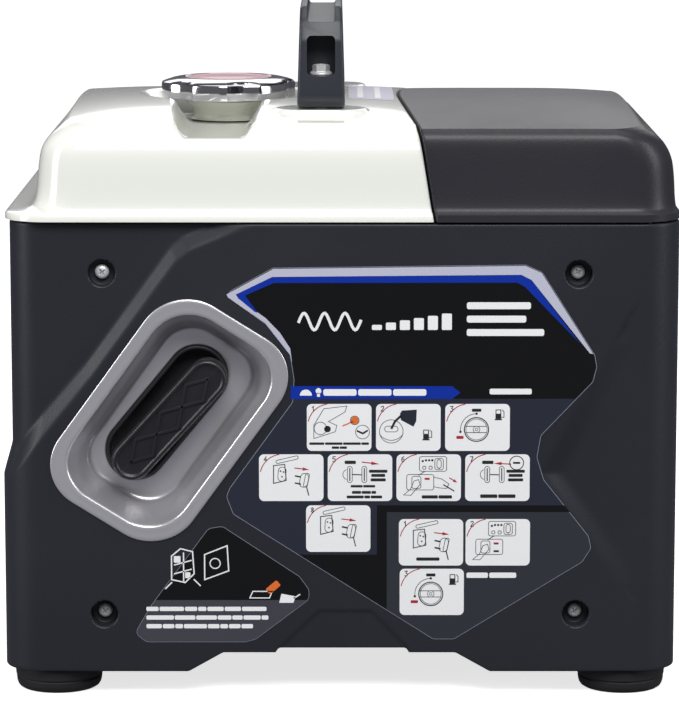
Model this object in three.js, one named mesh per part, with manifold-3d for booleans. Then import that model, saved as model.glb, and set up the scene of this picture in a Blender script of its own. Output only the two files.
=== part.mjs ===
// Portable inverter generator, millimetres, +Z up. The front cover with the starter dish faces -Y,
// the control panel is on the -X end and the exhaust on the +X end. The floor is z = 0.
import * as THREE from "three";
import { ConvexGeometry } from "three/addons/geometries/ConvexGeometry.js";
import { mergeVertices } from "three/addons/utils/BufferGeometryUtils.js";
import Module from "manifold-3d";

const wasm = await Module();
wasm.setup();

// ---- Driving dimensions ----
const gap = 0.3; // between touching pieces
const caseLength = 450; // along X
const caseDepth = 320; // along Y
const caseBottom = 17;
const caseTop = 318;
const cornerR = 28;
const wall = 3;
const stepDepth = 6; // how far the upper left field of the case lies back
const coverDepth = 62; // how far a side cover wraps round the ends
const footR = 29;
const footHeight = 16.7;
const footInsetX = 35;
const footInsetY = 34;
const trayFloor = 34;
const trayWall = 42;
const sheet = 3;

const lidBottom = caseTop + 1;
const tankLip = 3; // how far the tank's lip lies inside the case's left end
const lidTop = 380; // height of the lid's front edge
const crownRise = 12;
const seamX = 40; // the seam between tank and hood at mid depth
const seamBow = 13;
const seamLean = 0.155;
const seamGap = 1.6;
const tankWall = 4;

const neckX = -77.6;
const neckTopR = 30;
const neckR = 24;
const wellFloor = 373;
const capR = 46.4;
const capBottom = 388;
const capSkirt = 11.5;
const capHeight = 14.5;

const handleX = -12.6;
const handleWidth = 32;
const handleSpan = 232; // along Y over both feet
const handleTop = 457;
const handleFoot = 32; // length of one foot along Y
const handleGrip = 21; // height of the grip bar
const padRise = 2;
const boltSeat = 22; // solid height of the handle's foot under its bolt

const dishX = -113;
const dishZ = 187.2;
const dishAngle = THREE.MathUtils.degToRad(54);
const dishSkew = Math.tan(THREE.MathUtils.degToRad(4)); // the short sides lean towards the long ones
const dishLength = 162;
const dishWidth = 104;
const dishR = 32;
const rimWidth = 9;
const rimStand = 1.2;
const dishDepth = 30;
const dishFloorLength = 121;
const dishFloorWidth = 63;
const dishFloorR = 22;
const slotX = -115.8;
const slotZ = 188.1;
const slotAngle = THREE.MathUtils.degToRad(50.5);
const slotLength = 106;
const slotWidth = 41;

const gripX = -113.1;
const gripZ = 186.4;
const gripAngle = THREE.MathUtils.degToRad(47.5);
const gripLength = 101;
const gripWidth = 27;
const gripDepth = 20;
const gripSink = 5; // grip face behind the case face
const ropeR = 2.5;

const crankX = -50;
const crankZ = 140;
const recoilR = 86;
const recoilFront = -106;
const recoilBack = -76;
const reelR = 46;
const ropeWindR = 36;
const shaftR = 11;
const rotorR = 62;
const fanR = 72;

const screwX = 157;
const screwLow = 56.5;
const screwHigh = 285;
const counterboreR = 9;
const counterboreDepth = 14;
const screwHeadR = 4.75;
const screwShankR = 2.5;

const skin = 0.5; // label thickness
const circleSteps = 24;

const halfX = caseLength / 2;
const halfY = caseDepth / 2;
const caseMid = (caseBottom + caseTop) / 2;

// ---- Materials ----
const finish = (color, roughness, metalness = 0) =>
  new THREE.MeshStandardMaterial({ color, roughness, metalness });
const blackPlastic = finish(0x26272d, 0.45);
const greyPlastic = finish(0x3a3c44, 0.5);
const creamPlastic = finish(0xf0f1eb, 0.15);
const chrome = finish(0xc9c8cf, 0.12, 1);
const stainless = finish(0xa7a5b0, 0.35, 1);
const steel = finish(0x8d8f94, 0.4, 1);
const castAlloy = finish(0xa9abad, 0.55, 0.9);
const rubber = finish(0x1b1b1e, 0.8);
const ropeWhite = finish(0xd8d5cc, 0.9);
const copper = finish(0xb06a3a, 0.4, 0.9);
const red = finish(0xb51f1f, 0.4);
const labelInk = finish(0x0d0e11, 0.4);
const labelSilver = finish(0xb9b8c6, 0.35, 0.5);

// ---- Solid helpers ----
function volumeOf(positions, index) {
  const a = new THREE.Vector3();
  const b = new THREE.Vector3();
  const c = new THREE.Vector3();
  let sum = 0;
  for (let i = 0; i < index.length; i += 3) {
    a.fromArray(positions, index[i] * 3);
    b.fromArray(positions, index[i + 1] * 3);
    c.fromArray(positions, index[i + 2] * 3);
    sum += a.dot(b.cross(c));
  }
  return sum / 6;
}

// Turns a closed three.js geometry into a manifold solid with its faces pointing out.
function solid(geometry) {
  const plain = geometry.clone();
  plain.deleteAttribute("normal");
  plain.deleteAttribute("uv");
  const merged = mergeVertices(plain, 1e-4);
  const vertProperties = new Float32Array(merged.attributes.position.array);
  const triVerts = new Uint32Array(merged.index.array);
  if (volumeOf(vertProperties, triVerts) < 0) {
    triVerts.reverse();
  }
  return new wasm.Manifold(new wasm.Mesh({ numProp: 3, vertProperties, triVerts }));
}

function geometryOf(shape) {
  const mesh = shape.getMesh();
  const geometry = new THREE.BufferGeometry();
  geometry.setAttribute("position", new THREE.BufferAttribute(mesh.vertProperties, 3));
  geometry.setIndex(new THREE.BufferAttribute(mesh.triVerts, 1));
  geometry.computeVertexNormals();
  return geometry;
}

const cut = (body, ...tools) => tools.reduce((rest, tool) => rest.subtract(tool), body);
const join = (body, ...more) => more.reduce((sum, piece) => sum.add(piece), body);

function block(x0, x1, y0, y1, z0, z1) {
  const geometry = new THREE.BoxGeometry(x1 - x0, y1 - y0, z1 - z0);
  geometry.translate((x0 + x1) / 2, (y0 + y1) / 2, (z0 + z1) / 2);
  return solid(geometry);
}

// A rod between two points.
function rod(from, to, radius, steps = circleSteps, endRadius = radius) {
  const a = new THREE.Vector3(...from);
  const b = new THREE.Vector3(...to);
  const along = b.clone().sub(a);
  const geometry = new THREE.CylinderGeometry(endRadius, radius, along.length(), steps);
  geometry.applyQuaternion(
    new THREE.Quaternion().setFromUnitVectors(new THREE.Vector3(0, 1, 0), along.clone().normalize()),
  );
  geometry.translate(...a.add(b).multiplyScalar(0.5).toArray());
  return solid(geometry);
}

const rodX = (x0, x1, y, z, r, steps) => rod([x0, y, z], [x1, y, z], r, steps);
const rodY = (x, y0, y1, z, r, steps) => rod([x, y0, z], [x, y1, z], r, steps);
const rodZ = (x, y, z0, z1, r, steps) => rod([x, y, z0], [x, y, z1], r, steps);

// A turned piece: profile of [radius, height] pairs about an axis along Z.
function turned(profile, steps = circleSteps) {
  const points = profile.map(([r, h]) => new THREE.Vector2(r, h));
  if (points[0].x > 0) {
    points.push(points[0].clone());
  }
  const geometry = new THREE.LatheGeometry(points, steps);
  geometry.rotateX(Math.PI / 2);
  return geometry;
}

const turnedZ = (x, y, profile, steps) => solid(turned(profile, steps).translate(x, y, 0));
// The profile's height runs along Y here, or along X in turnedX.
function turnedY(x, z, profile, steps) {
  return solid(turned(profile, steps).rotateX(-Math.PI / 2).translate(x, 0, z));
}
function turnedX(y, z, profile, steps) {
  return solid(turned(profile, steps).rotateY(Math.PI / 2).translate(0, y, z));
}

function roundedRect(x0, x1, y0, y1, r, steps = 6) {
  const points = [];
  const corners = [
    [x1 - r, y0 + r, -Math.PI / 2],
    [x1 - r, y1 - r, 0],
    [x0 + r, y1 - r, Math.PI / 2],
    [x0 + r, y0 + r, Math.PI],
  ];
  for (const [cx, cy, start] of corners) {
    for (let i = 0; i <= steps; i += 1) {
      const angle = start + (Math.PI / 2) * (i / steps);
      points.push(new THREE.Vector2(cx + r * Math.cos(angle), cy + r * Math.sin(angle)));
    }
  }
  return points;
}

// Points of a centred rounded rectangle, leaned by a skew and turned by an angle about its centre.
function turnedRect(cx, cy, length, width, r, angle, steps = 6, skew = 0) {
  const centre = new THREE.Vector2(cx, cy);
  return roundedRect(-length / 2, length / 2, -width / 2, width / 2, r, steps).map((point) => {
    const leaned = new THREE.Vector2(point.x - skew * point.y, point.y);
    return leaned.rotateAround(new THREE.Vector2(), angle).add(centre);
  });
}

// A closed body through rings of equally many points, capped flat at both ends.
function loft(rings, flat) {
  const positions = rings.flat().flatMap((point) => point.toArray());
  const count = rings[0].length;
  const index = [];
  for (let ring = 0; ring + 1 < rings.length; ring += 1) {
    for (let i = 0; i < count; i += 1) {
      const a = ring * count + i;
      const b = ring * count + ((i + 1) % count);
      index.push(a, b, b + count, a, b + count, a + count);
    }
  }
  const last = (rings.length - 1) * count;
  const capOf = (ring) => THREE.ShapeUtils.triangulateShape(ring.map(flat), []);
  const firstFlat = THREE.ShapeUtils.isClockWise(rings[0].map(flat));
  for (const [a, b, c] of capOf(rings[0])) {
    index.push(...(firstFlat ? [a, b, c] : [a, c, b]));
  }
  for (const [a, b, c] of capOf(rings.at(-1))) {
    index.push(...(firstFlat ? [last + a, last + c, last + b] : [last + a, last + b, last + c]));
  }
  const geometry = new THREE.BufferGeometry();
  geometry.setAttribute("position", new THREE.Float32BufferAttribute(positions, 3));
  geometry.setIndex(index);
  return solid(geometry);
}

const flatXY = (point) => new THREE.Vector2(point.x, point.y);
const flatXZ = (point) => new THREE.Vector2(point.x, point.z);
const flatYZ = (point) => new THREE.Vector2(point.y, point.z);
const ringAtY = (points, y) => points.map((p) => new THREE.Vector3(p.x, y, p.y));
const ringAtZ = (points, z) => points.map((p) => new THREE.Vector3(p.x, p.y, z));
const ringAtX = (points, x) => points.map((p) => new THREE.Vector3(x, p.x, p.y));
const asPoints = (pairs) => pairs.map(([a, b]) => new THREE.Vector2(a, b));
const prismY = (points, y0, y1) => loft([ringAtY(points, y0), ringAtY(points, y1)], flatXZ);
const prismZ = (points, z0, z1) => loft([ringAtZ(points, z0), ringAtZ(points, z1)], flatXY);
const prismX = (points, x0, x1) => loft([ringAtX(points, x0), ringAtX(points, x1)], flatYZ);

const product = new THREE.Group();

function add(name, shape, material) {
  const mesh = new THREE.Mesh(geometryOf(shape), material);
  mesh.name = name;
  product.add(mesh);
}

// ---- Case covers ----
// The upper left field of the case lies back behind a chamfered diagonal step. Each line is given
// from the case's top edge down to its left edge: first on the raised face, then on the low face.
const stepRaised = asPoints([
  [-58, caseTop + 14],
  [-58, caseTop],
  [-98.7, 301],
  [-107.3, 294.4],
  [-163.6, 217],
  [-219.2, 148],
  [-260, 97],
]);
const stepLow = asPoints([
  [-83, caseTop + 14],
  [-83, caseTop],
  [-103.3, 309],
  [-111.9, 301.7],
  [-167.5, 225.5],
  [-216.6, 169],
  [-260, 119],
]);
const endStepRaised = 148;
const endStepLow = 169;

function planOf(inset) {
  return roundedRect(-halfX + inset, halfX - inset, -halfY + inset, halfY - inset, cornerR - inset, 6);
}

function stepTool(inset) {
  const face = -halfY + inset;
  const at = (t) => {
    const edge = stepRaised.map((point, i) => point.clone().lerp(stepLow[i], t));
    const farCorner = new THREE.Vector2(edge.at(-1).x, edge[0].y);
    return ringAtY([...edge, farCorner], face + stepDepth * t);
  };
  return loft([at(-0.5), at(1.2)], flatXZ);
}

function endStepTool(inset) {
  const face = -halfX + inset;
  const at = (t) => {
    const z = endStepRaised + (endStepLow - endStepRaised) * t;
    const points = asPoints([
      [-halfY, z],
      [halfY, z],
      [halfY, caseTop + 14],
      [-halfY, caseTop + 14],
    ]);
    return ringAtX(points, face + stepDepth * t);
  };
  return loft([at(-0.5), at(1.2)], flatYZ);
}

function caseBody(inset) {
  const bottom = caseBottom - inset;
  const top = caseTop + inset;
  const raised = prismZ(planOf(inset), bottom, top);
  const low = prismZ(planOf(inset + stepDepth), bottom, top);
  const front = stepTool(inset);
  const tools = [front, front.mirror([0, 1, 0]), endStepTool(inset)];
  return cut(raised, ...tools).add(low);
}

const bottomStep = 13;
const bottomRise = 16;
const bottomOutline = asPoints([
  [-100, caseBottom],
  [-78, caseBottom + bottomStep],
  [-43, caseBottom + bottomStep],
  [-41, caseBottom + bottomRise],
  [44, caseBottom + bottomRise],
  [46, caseBottom + bottomStep],
  [77, caseBottom + bottomStep],
  [99, caseBottom],
  [99, caseBottom - 20],
  [-100, caseBottom - 20],
]);

const fullCase = caseBody(0);
const shell = cut(fullCase, caseBody(wall), prismY(bottomOutline, -halfY - 10, halfY + 10));
const coverEdge = halfY - coverDepth;
const beyond = 400;
const frontRegion = block(-beyond, beyond, -beyond, -coverEdge, 0, beyond);
const rearRegion = block(-beyond, beyond, coverEdge, beyond, 0, beyond);
const leftRegion = block(-beyond, 0, -coverEdge + 2 * gap, coverEdge - 2 * gap, 0, beyond);
const rightRegion = block(0, beyond, -coverEdge + 2 * gap, coverEdge - 2 * gap, 0, beyond);

const screwSpots = [-1, 1].flatMap((side) => [screwLow, screwHigh].map((z) => [side * screwX, z]));
const counterboreFloor = -halfY + counterboreDepth;

// Adds the four counterbored screw cups of a side cover, side -1 for the front and 1 for the rear.
function withCups(body, side) {
  const y = (value) => -side * value;
  const cups = screwSpots.map(([x, z]) =>
    rodY(x, y(-halfY - 1), y(counterboreFloor + wall), z, counterboreR + wall, 20).intersect(fullCase),
  );
  const bores = screwSpots.map(([x, z]) => rodY(x, y(-halfY - 5), y(counterboreFloor), z, counterboreR, 20));
  const holes = screwSpots.map(([x, z]) =>
    rodY(x, y(-halfY), y(counterboreFloor + 2 * wall), z, screwShankR + gap, 12),
  );
  return cut(join(body, ...cups), ...bores, ...holes);
}

// The triangular recess at the right of the front cover, deepest at its left corner.
const recessDepth = 5;
const recessX = 146;
const recessZ = 152;
const recessTool = solid(
  new ConvexGeometry([
    new THREE.Vector3(recessX, -halfY + recessDepth, recessZ),
    new THREE.Vector3(recessX + 33, -halfY + 1.6, recessZ + 60),
    new THREE.Vector3(recessX + 37, -halfY + 1.4, recessZ - 53),
    new THREE.Vector3(recessX + 48, -halfY, recessZ + 64),
    new THREE.Vector3(recessX + 49, -halfY, recessZ - 56),
    new THREE.Vector3(recessX - 13, -halfY - 2, recessZ),
    new THREE.Vector3(recessX + 34, -halfY - 2, recessZ + 86),
    new THREE.Vector3(recessX + 42, -halfY - 2, recessZ - 76),
    new THREE.Vector3(recessX + 55, -halfY - 2, recessZ + 72),
    new THREE.Vector3(recessX + 55, -halfY - 2, recessZ - 64),
  ]),
);
// Local backing keeps the wall thickness behind the recess.
const recessBacking = block(
  recessX - 7,
  recessX + 48,
  -halfY + wall,
  -halfY + wall + recessDepth,
  recessZ - 60,
  recessZ + 70,
);

const dishOuter = (grow) =>
  turnedRect(dishX, dishZ, dishLength + 2 * grow, dishWidth + 2 * grow, dishR + grow, dishAngle, 6, dishSkew);
const dishInner = (grow) => dishOuter(grow - rimWidth);
const dishHole = prismY(dishInner(1.5 + gap), -halfY - 10, -halfY + 40);

const frontShell = cut(join(shell.intersect(frontRegion), recessBacking), recessTool, dishHole);
add("side_panel_front", withCups(frontShell, -1), blackPlastic);
add("side_panel_rear", withCups(shell.intersect(rearRegion), 1), blackPlastic);

// ---- Panel screws ----
const screwSeat = counterboreFloor - gap;
screwSpots.forEach(([x, z], i) => {
  const head = turnedY(x, z, [
    [0, screwSeat],
    [screwHeadR, screwSeat],
    [screwHeadR, screwSeat - 2],
    [screwHeadR * 0.7, screwSeat - 3.4],
    [0, screwSeat - 3.8],
  ].reverse(), 20);
  const shank = rodY(x, screwSeat - 1, counterboreFloor + wall + 2, z, screwShankR, 12);
  const slotA = block(x - 2.6, x + 2.6, screwSeat - 5, screwSeat - 1.6, z - 0.6, z + 0.6);
  const slotB = block(x - 0.6, x + 0.6, screwSeat - 5, screwSeat - 1.6, z - 2.6, z + 2.6);
  add(`panel_screw_${i + 1}`, cut(head.add(shank), slotA, slotB), steel);
});

// ---- Base frame, feet and engine mounts ----
const trayX = halfX - wall - stepDepth - 1;
const trayY = halfY - wall - 1;
const footX = halfX - footInsetX;
const footY = halfY - footInsetY;
const corners = [-1, 1].flatMap((sx) => [-1, 1].map((sy) => [sx, sy]));

function baseFrame() {
  const plan = roundedRect(-trayX, trayX, -trayY, trayY, 20);
  const inner = roundedRect(-trayX + sheet, trayX - sheet, -trayY + sheet, trayY - sheet, 17);
  let body = cut(prismZ(plan, trayFloor, trayWall), prismZ(inner, trayFloor + sheet, trayWall + 1));
  for (const [sx, sy] of corners) {
    const pad = rodZ(sx * footX, sy * footY, caseBottom, trayFloor + 1, footR - 4, 24);
    const postX = [sx * (trayX - 2), sx * (trayX - 14)].sort((a, b) => a - b);
    const postY = [sy * (halfY - 21), sy * (halfY - 33)].sort((a, b) => a - b);
    const tabY = [sy * (halfY - 20.5), sy * (halfY - 23.5)].sort((a, b) => a - b);
    const tabX = [sx * (screwX - 8), sx * (trayX - 2)].sort((a, b) => a - b);
    const post = block(...postX, ...postY, trayFloor, screwHigh + 8);
    const highTab = block(...tabX, ...tabY, screwHigh - 8, screwHigh + 8);
    const lowTab = block(...tabX, ...tabY, trayFloor, screwLow + 10);
    body = join(body, pad, post, highTab, lowTab);
  }
  const holes = screwSpots.flatMap(([x, z]) => [-1, 1].map((sy) => rodY(x, sy * 150, sy * 120, z, 3.2, 12)));
  const vents = [-1, 0, 1].flatMap((row) =>
    [-1, 1].map((side) => block(side * 75 - 35, side * 75 + 35, row * 18 - 4, row * 18 + 4, 0, 60)),
  );
  return cut(body, ...holes, ...vents);
}
add("base_frame", baseFrame(), steel);

corners.forEach(([sx, sy]) => {
  const name = `rubber_foot_${sy < 0 ? "front" : "rear"}_${sx < 0 ? "left" : "right"}`;
  const profile = [
    [0, 9],
    [7, 9],
    [7, 0],
    [footR - 5, 0],
    [footR - 1.5, 1.5],
    [footR, 5],
    [footR + 1, footHeight],
    [0, footHeight],
  ];
  add(name, turnedZ(sx * footX, sy * footY, profile, 24), rubber);
});

const mountTop = 56;
const mountSpots = [-105, 5];
mountSpots.forEach((x, i) => {
  const low = trayFloor + sheet + gap;
  const high = mountTop - gap;
  const outline = asPoints([
    [x - 13, low],
    [x + 13, low],
    [x + 9, (low + high) / 2],
    [x + 13, high],
    [x - 13, high],
    [x - 9, (low + high) / 2],
  ]);
  add(`engine_mount_${i + 1}`, prismY(outline, 22, 102), rubber);
});

// ---- Lid: fuel tank and hood ----
function crown(x, y, xMid, xHalf) {
  const across = Math.max(0, 1 - ((x - xMid) / xHalf) ** 4);
  return crownRise * Math.max(0, 1 - (y / halfY) ** 2) * across;
}

// Rings from the lip up the wall, over the shoulder and onto the crowned top.
// Each row: inset of the end and of the long sides from the case, corner radius, height.
function lid(rows, leftEnd, rightEnd, inset, bottom) {
  const xMid = (leftEnd + rightEnd) / 2;
  const xHalf = (rightEnd - leftEnd) / 2;
  const rings = rows.map(([endInset, sideInset, radius, height, crowned]) => {
    const left = leftEnd < 0 && Math.abs(leftEnd) > 150 ? leftEnd + endInset + inset : leftEnd;
    const right = rightEnd > 150 ? rightEnd - endInset - inset : rightEnd;
    const y = halfY - sideInset - inset;
    const r = Math.max(2, radius - inset);
    return roundedRect(left, right, -y, y, r, 5).map((point) => {
      const z = Math.max(bottom, height - inset) + (crowned ? crown(point.x, point.y, xMid, xHalf) : 0);
      return new THREE.Vector3(point.x, point.y, z);
    });
  });
  const last = rings.at(-1);
  const inner = [0.75, 0.45, 0.1].map((share) =>
    last.map((point) => {
      const x = xMid + (point.x - xMid) * share;
      const y = point.y * share;
      const base = rows.at(-1)[3] - inset;
      return new THREE.Vector3(x, y, base + crown(x, y, xMid, xHalf));
    }),
  );
  const start = rings[0].map((point) => new THREE.Vector3(point.x, point.y, bottom));
  return loft([start, ...rings, ...inner], flatXY);
}

// The region right of the leaning, bowed seam, moved by an offset along X.
function seamRegion(offset) {
  const bowAt = (y) => seamX + seamBow * Math.abs(y / halfY) ** 1.5 + offset;
  const steps = 12;
  const reach = halfY + 30;
  const edge = [];
  for (let i = 0; i <= steps; i += 1) {
    const y = -reach + (2 * reach * i) / steps;
    edge.push(new THREE.Vector2(bowAt(y), y));
  }
  const shifted = (dx) => edge.map((p) => new THREE.Vector2(p.x + dx, p.y));
  const close = (points) => [
    ...points,
    new THREE.Vector2(beyond, reach),
    new THREE.Vector2(beyond, -reach),
  ];
  const lean = (lidTop - 240) * seamLean;
  return loft(
    [ringAtZ(close(shifted(lean)), 240), ringAtZ(close(edge), lidTop), ringAtZ(close(edge), 500)],
    flatXY,
  );
}

const tankLeft = -halfX + tankLip;
const tankRight = seamX + 60;
const tankRows = [
  [0, -0.5, 30, lidBottom + 4, false],
  [1.5, 0.5, 29, lidBottom + 5.5, false],
  [16, 2.5, 28, lidBottom + 7, false],
  [21, 3.5, 27, lidBottom + 12, false],
  [23, 4.5, 26, 360, false],
  [26, 6.5, 24, 369, false],
  [32, 11, 22, 376, false],
  [41, 20, 18, lidTop, true],
];
const tankOuter = lid(tankRows, tankLeft, tankRight, 0, lidBottom);
const tankHollow = lid(tankRows, tankLeft, tankRight - tankWall, tankWall, lidBottom - 10);

const wellR = 40;
const wellFlare = 24;
const well = turnedZ(neckX, 0, [
  [0, wellFloor],
  [wellR, wellFloor],
  [wellR + wellFlare, lidTop + crownRise + 4],
  [0, lidTop + crownRise + 4],
]);
const channelHalf = 20.5;
const channelShift = -5.4; // the channel runs a little left of the neck
function channel(grow) {
  const mid = neckX + channelShift;
  const low = channelHalf + grow;
  const high = channelHalf + 13 + grow;
  const outline = asPoints([
    [mid - low, wellFloor - grow],
    [mid + low, wellFloor - grow],
    [mid + high, lidTop + 16],
    [mid - high, lidTop + 16],
  ]);
  return prismY(outline, -halfY - 10, 0);
}
const wellBody = turnedZ(neckX, 0, [
  [0, wellFloor - tankWall],
  [wellR + tankWall, wellFloor - tankWall],
  [wellR + wellFlare + tankWall, lidTop + crownRise + 4],
  [0, lidTop + crownRise + 4],
]);

const padTop = lidTop + crownRise - 5 + padRise;
const handleFootMid = handleSpan / 2 - handleFoot / 2;
const padHalfX = 30;
const padHalfY = 19;
const padR = 18;
function padPrism(side, bottom, top) {
  const y = side * handleFootMid;
  const points = roundedRect(handleX - padHalfX, handleX + padHalfX, y - padHalfY, y + padHalfY, padR);
  return prismZ(points, bottom, top);
}
const pads = [-1, 1].map((side) => padPrism(side, lidTop - 20, padTop));
const padRoom = [-1, 1].map((side) => padPrism(side, padTop, padTop + 20));

const outletR = neckR - 5;
const seamLeft = seamRegion(-seamGap / 2);
let tankUpper = cut(tankOuter.add(pads[0]).add(pads[1]), tankHollow);
tankUpper = join(tankUpper, tankOuter.intersect(join(wellBody, channel(tankWall))));
const neckBore = rodZ(neckX, 0, 300, 420, outletR, 32);
tankUpper = cut(tankUpper, well, channel(0), seamLeft, neckBore, ...padRoom);
const seamWall = tankOuter.intersect(cut(seamRegion(-seamGap / 2 - tankWall), seamLeft));
const tankPost = (side) => rodZ(handleX, side * handleFootMid, padTop - 26, padTop - 4, 9, 20);
const boltHole = (side) => rodZ(handleX, side * handleFootMid, padTop - 20, padTop + 20, 4.3, 16);
tankUpper = cut(join(tankUpper, seamWall, tankPost(-1), tankPost(1)), boltHole(-1), boltHole(1));
add("tank_upper_shell", tankUpper, creamPlastic);

// The lower half hangs inside the case under the upper half.
const basinLeft = -halfX + stepDepth + 2 * wall + 2;
const basinRight = seamX + 2;
const basinY = halfY - stepDepth - wall - 2.5;
const basinBottom = 284;
const basinPlan = (inset) =>
  roundedRect(basinLeft + inset, basinRight - inset, -basinY + inset, basinY - inset, 18 - inset / 2);
function tankLower() {
  const outerRings = [
    ringAtZ(basinPlan(26), basinBottom),
    ringAtZ(basinPlan(14), basinBottom + 16),
    ringAtZ(basinPlan(0), basinBottom + 30),
    ringAtZ(basinPlan(0), lidBottom - gap),
  ];
  const innerRings = [
    ringAtZ(basinPlan(29), basinBottom + tankWall),
    ringAtZ(basinPlan(18), basinBottom + 17 + tankWall),
    ringAtZ(basinPlan(9), basinBottom + 28 + tankWall),
    ringAtZ(basinPlan(9), lidBottom + 5),
  ];
  return loft(outerRings, flatXY).subtract(loft(innerRings, flatXY));
}
const highScrewNotch = screwSpots
  .filter(([, z]) => z === screwHigh)
  .flatMap(([x]) =>
    [-1, 1].map((side) => rodY(x, side * 135, side * 160, screwHigh, counterboreR + wall + 2, 16)),
  );
add("tank_lower_shell", cut(tankLower(), ...highScrewNotch), greyPlastic);

// Hood beside the tank.
const hoodRight = halfX;
const hoodLeft = seamX - 60;
const hoodRows = [
  [0, -rimStand - gap, 30, lidBottom + 5, false],
  [1, 0, 29, lidBottom + 6, false],
  [3, 2, 28, lidBottom + 9, false],
  [4, 3, 28, 350, false],
  [6, 3.4, 27, 361, false],
  [12, 4, 26, 371, false],
  [19, 5.5, 24, 376, false],
  [27, 9, 22, lidTop - 1.5, true],
];
const hoodOuter = lid(hoodRows, hoodLeft, hoodRight, 0, lidBottom);
const hoodHollow = lid(hoodRows, hoodLeft, hoodRight, wall, lidBottom - 10);
const seamRight = seamRegion(seamGap / 2);
const hoodWall = hoodOuter.intersect(cut(seamRight, seamRegion(seamGap / 2 + wall)));
const fingerSlot = block(seamX + 9, seamX + 25, -46, -20, 368, 420);
const fingerCup = block(seamX + 6, seamX + 28, -49, -17, 365, 420);
let hood = cut(hoodOuter, hoodHollow).intersect(seamRight).add(hoodWall);
hood = cut(hood.add(hoodOuter.intersect(fingerCup)), fingerSlot);
add("top_hood", hood, blackPlastic);

// ---- Filler neck and cap ----
const neckTop = capBottom + 6;
add(
  "filler_neck",
  turnedZ(neckX, 0, [
    [outletR + 1, wellFloor + gap],
    [neckR, wellFloor + gap],
    [neckR, wellFloor + 4],
    [neckR + 1, wellFloor + 8],
    [neckTopR, wellFloor + 13],
    [neckTopR, neckTop],
    [outletR + 3, neckTop],
    [outletR + 1, neckTop - 3],
  ]),
  creamPlastic,
);
const sealThickness = 2;
add(
  "cap_gasket",
  turnedZ(neckX, 0, [
    [outletR + 2, neckTop + gap],
    [neckTopR, neckTop + gap],
    [neckTopR, neckTop + gap + sealThickness],
    [outletR + 2, neckTop + gap + sealThickness],
  ]),
  rubber,
);

function fuelCap() {
  const lobes = 6;
  const steps = 60;
  const outline = [];
  for (let i = 0; i < steps; i += 1) {
    const angle = (2 * Math.PI * i) / steps;
    const phase = ((lobes * i) / steps) % 1;
    const dip = phase < 0.5 ? 0 : Math.sin((phase - 0.5) * 2 * Math.PI) * 3.4;
    const r = capR - dip;
    outline.push(new THREE.Vector2(Math.cos(angle) * r, Math.sin(angle) * r));
  }
  const ring = (share, z) =>
    outline.map((p) => {
      const length = p.length();
      const round = Math.min(length, capR - 4);
      const r = share < 1 ? round * share : length;
      return new THREE.Vector3(neckX + (p.x / length) * r, (p.y / length) * r, z);
    });
  const top = capBottom + capHeight;
  const body = loft(
    [ring(1, capBottom), ring(1, capBottom + capSkirt), ring(0.93, top - 1), ring(0.7, top), ring(0.1, top)],
    flatXY,
  );
  const hollow = turnedZ(neckX, 0, [
    [0, capBottom - 1],
    [neckTopR + 1.5, capBottom - 1],
    [neckTopR + 1.5, neckTop + 2 * gap + sealThickness],
    [0, neckTop + 2 * gap + sealThickness],
  ]);
  return body.subtract(hollow);
}
add("fuel_cap", fuelCap(), chrome);

// ---- Carry handle ----
function carryHandle() {
  const y = handleSpan / 2;
  const base = padTop + gap;
  const outer = [
    [-y, base],
    [-y + 3, handleTop - 22],
    [-y + 8, handleTop - 8],
    [-y + 20, handleTop],
    [y - 20, handleTop],
    [y - 8, handleTop - 8],
    [y - 3, handleTop - 22],
    [y, base],
    [y - handleFoot, base],
    [y - handleFoot - 3, handleTop - handleGrip - 14],
    [y - handleFoot - 8, handleTop - handleGrip - 4],
    [y - handleFoot - 18, handleTop - handleGrip],
    [-y + handleFoot + 18, handleTop - handleGrip],
    [-y + handleFoot + 8, handleTop - handleGrip - 4],
    [-y + handleFoot + 3, handleTop - handleGrip - 14],
    [-y + handleFoot, base],
  ];
  const half = handleWidth / 2;
  const body = prismX(asPoints(outer), handleX - half, handleX + half);
  const side = asPoints([
    [half, base - 1],
    [half + 10, base - 1],
    [half + 10, handleTop + 1],
    [half - 2, handleTop + 1],
  ]);
  const taper = prismY(side.map((p) => new THREE.Vector2(handleX + p.x, p.y)), -y - 5, y + 5);
  const taperLeft = prismY(side.map((p) => new THREE.Vector2(handleX - p.x, p.y)), -y - 5, y + 5);
  const trough = half - 6.6;
  const topChannel = block(handleX - trough, handleX + trough, -y - 5, y + 5, handleTop - 10, handleTop + 5);
  const pockets = [-1, 1].map((end) => {
    const near = end * (y + 5);
    const far = end * (y - 24);
    const ys = [near, far].sort((a, b) => a - b);
    return block(handleX - trough, handleX + trough, ...ys, base + boltSeat, handleTop - 19);
  });
  const bolts = [-1, 1].map((end) => rodZ(handleX, end * handleFootMid, base - 5, base + 40, 4.4, 16));
  return cut(body, taper, taperLeft, topChannel, ...pockets, ...bolts);
}
add("carry_handle", carryHandle(), blackPlastic);
[-1, 1].forEach((end) => {
  const seat = padTop + gap + boltSeat + gap;
  const y = end * handleFootMid;
  const flange = rodZ(handleX, y, seat, seat + 1.8, 7.5, 24);
  const hex = rodZ(handleX, y, seat + 1, seat + 6.5, 5.6, 6);
  const shank = rodZ(handleX, y, padTop - 16, seat + 1, 4, 16);
  add(`handle_bolt_${end < 0 ? "front" : "rear"}`, join(flange, hex, shank), steel);
});

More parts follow.
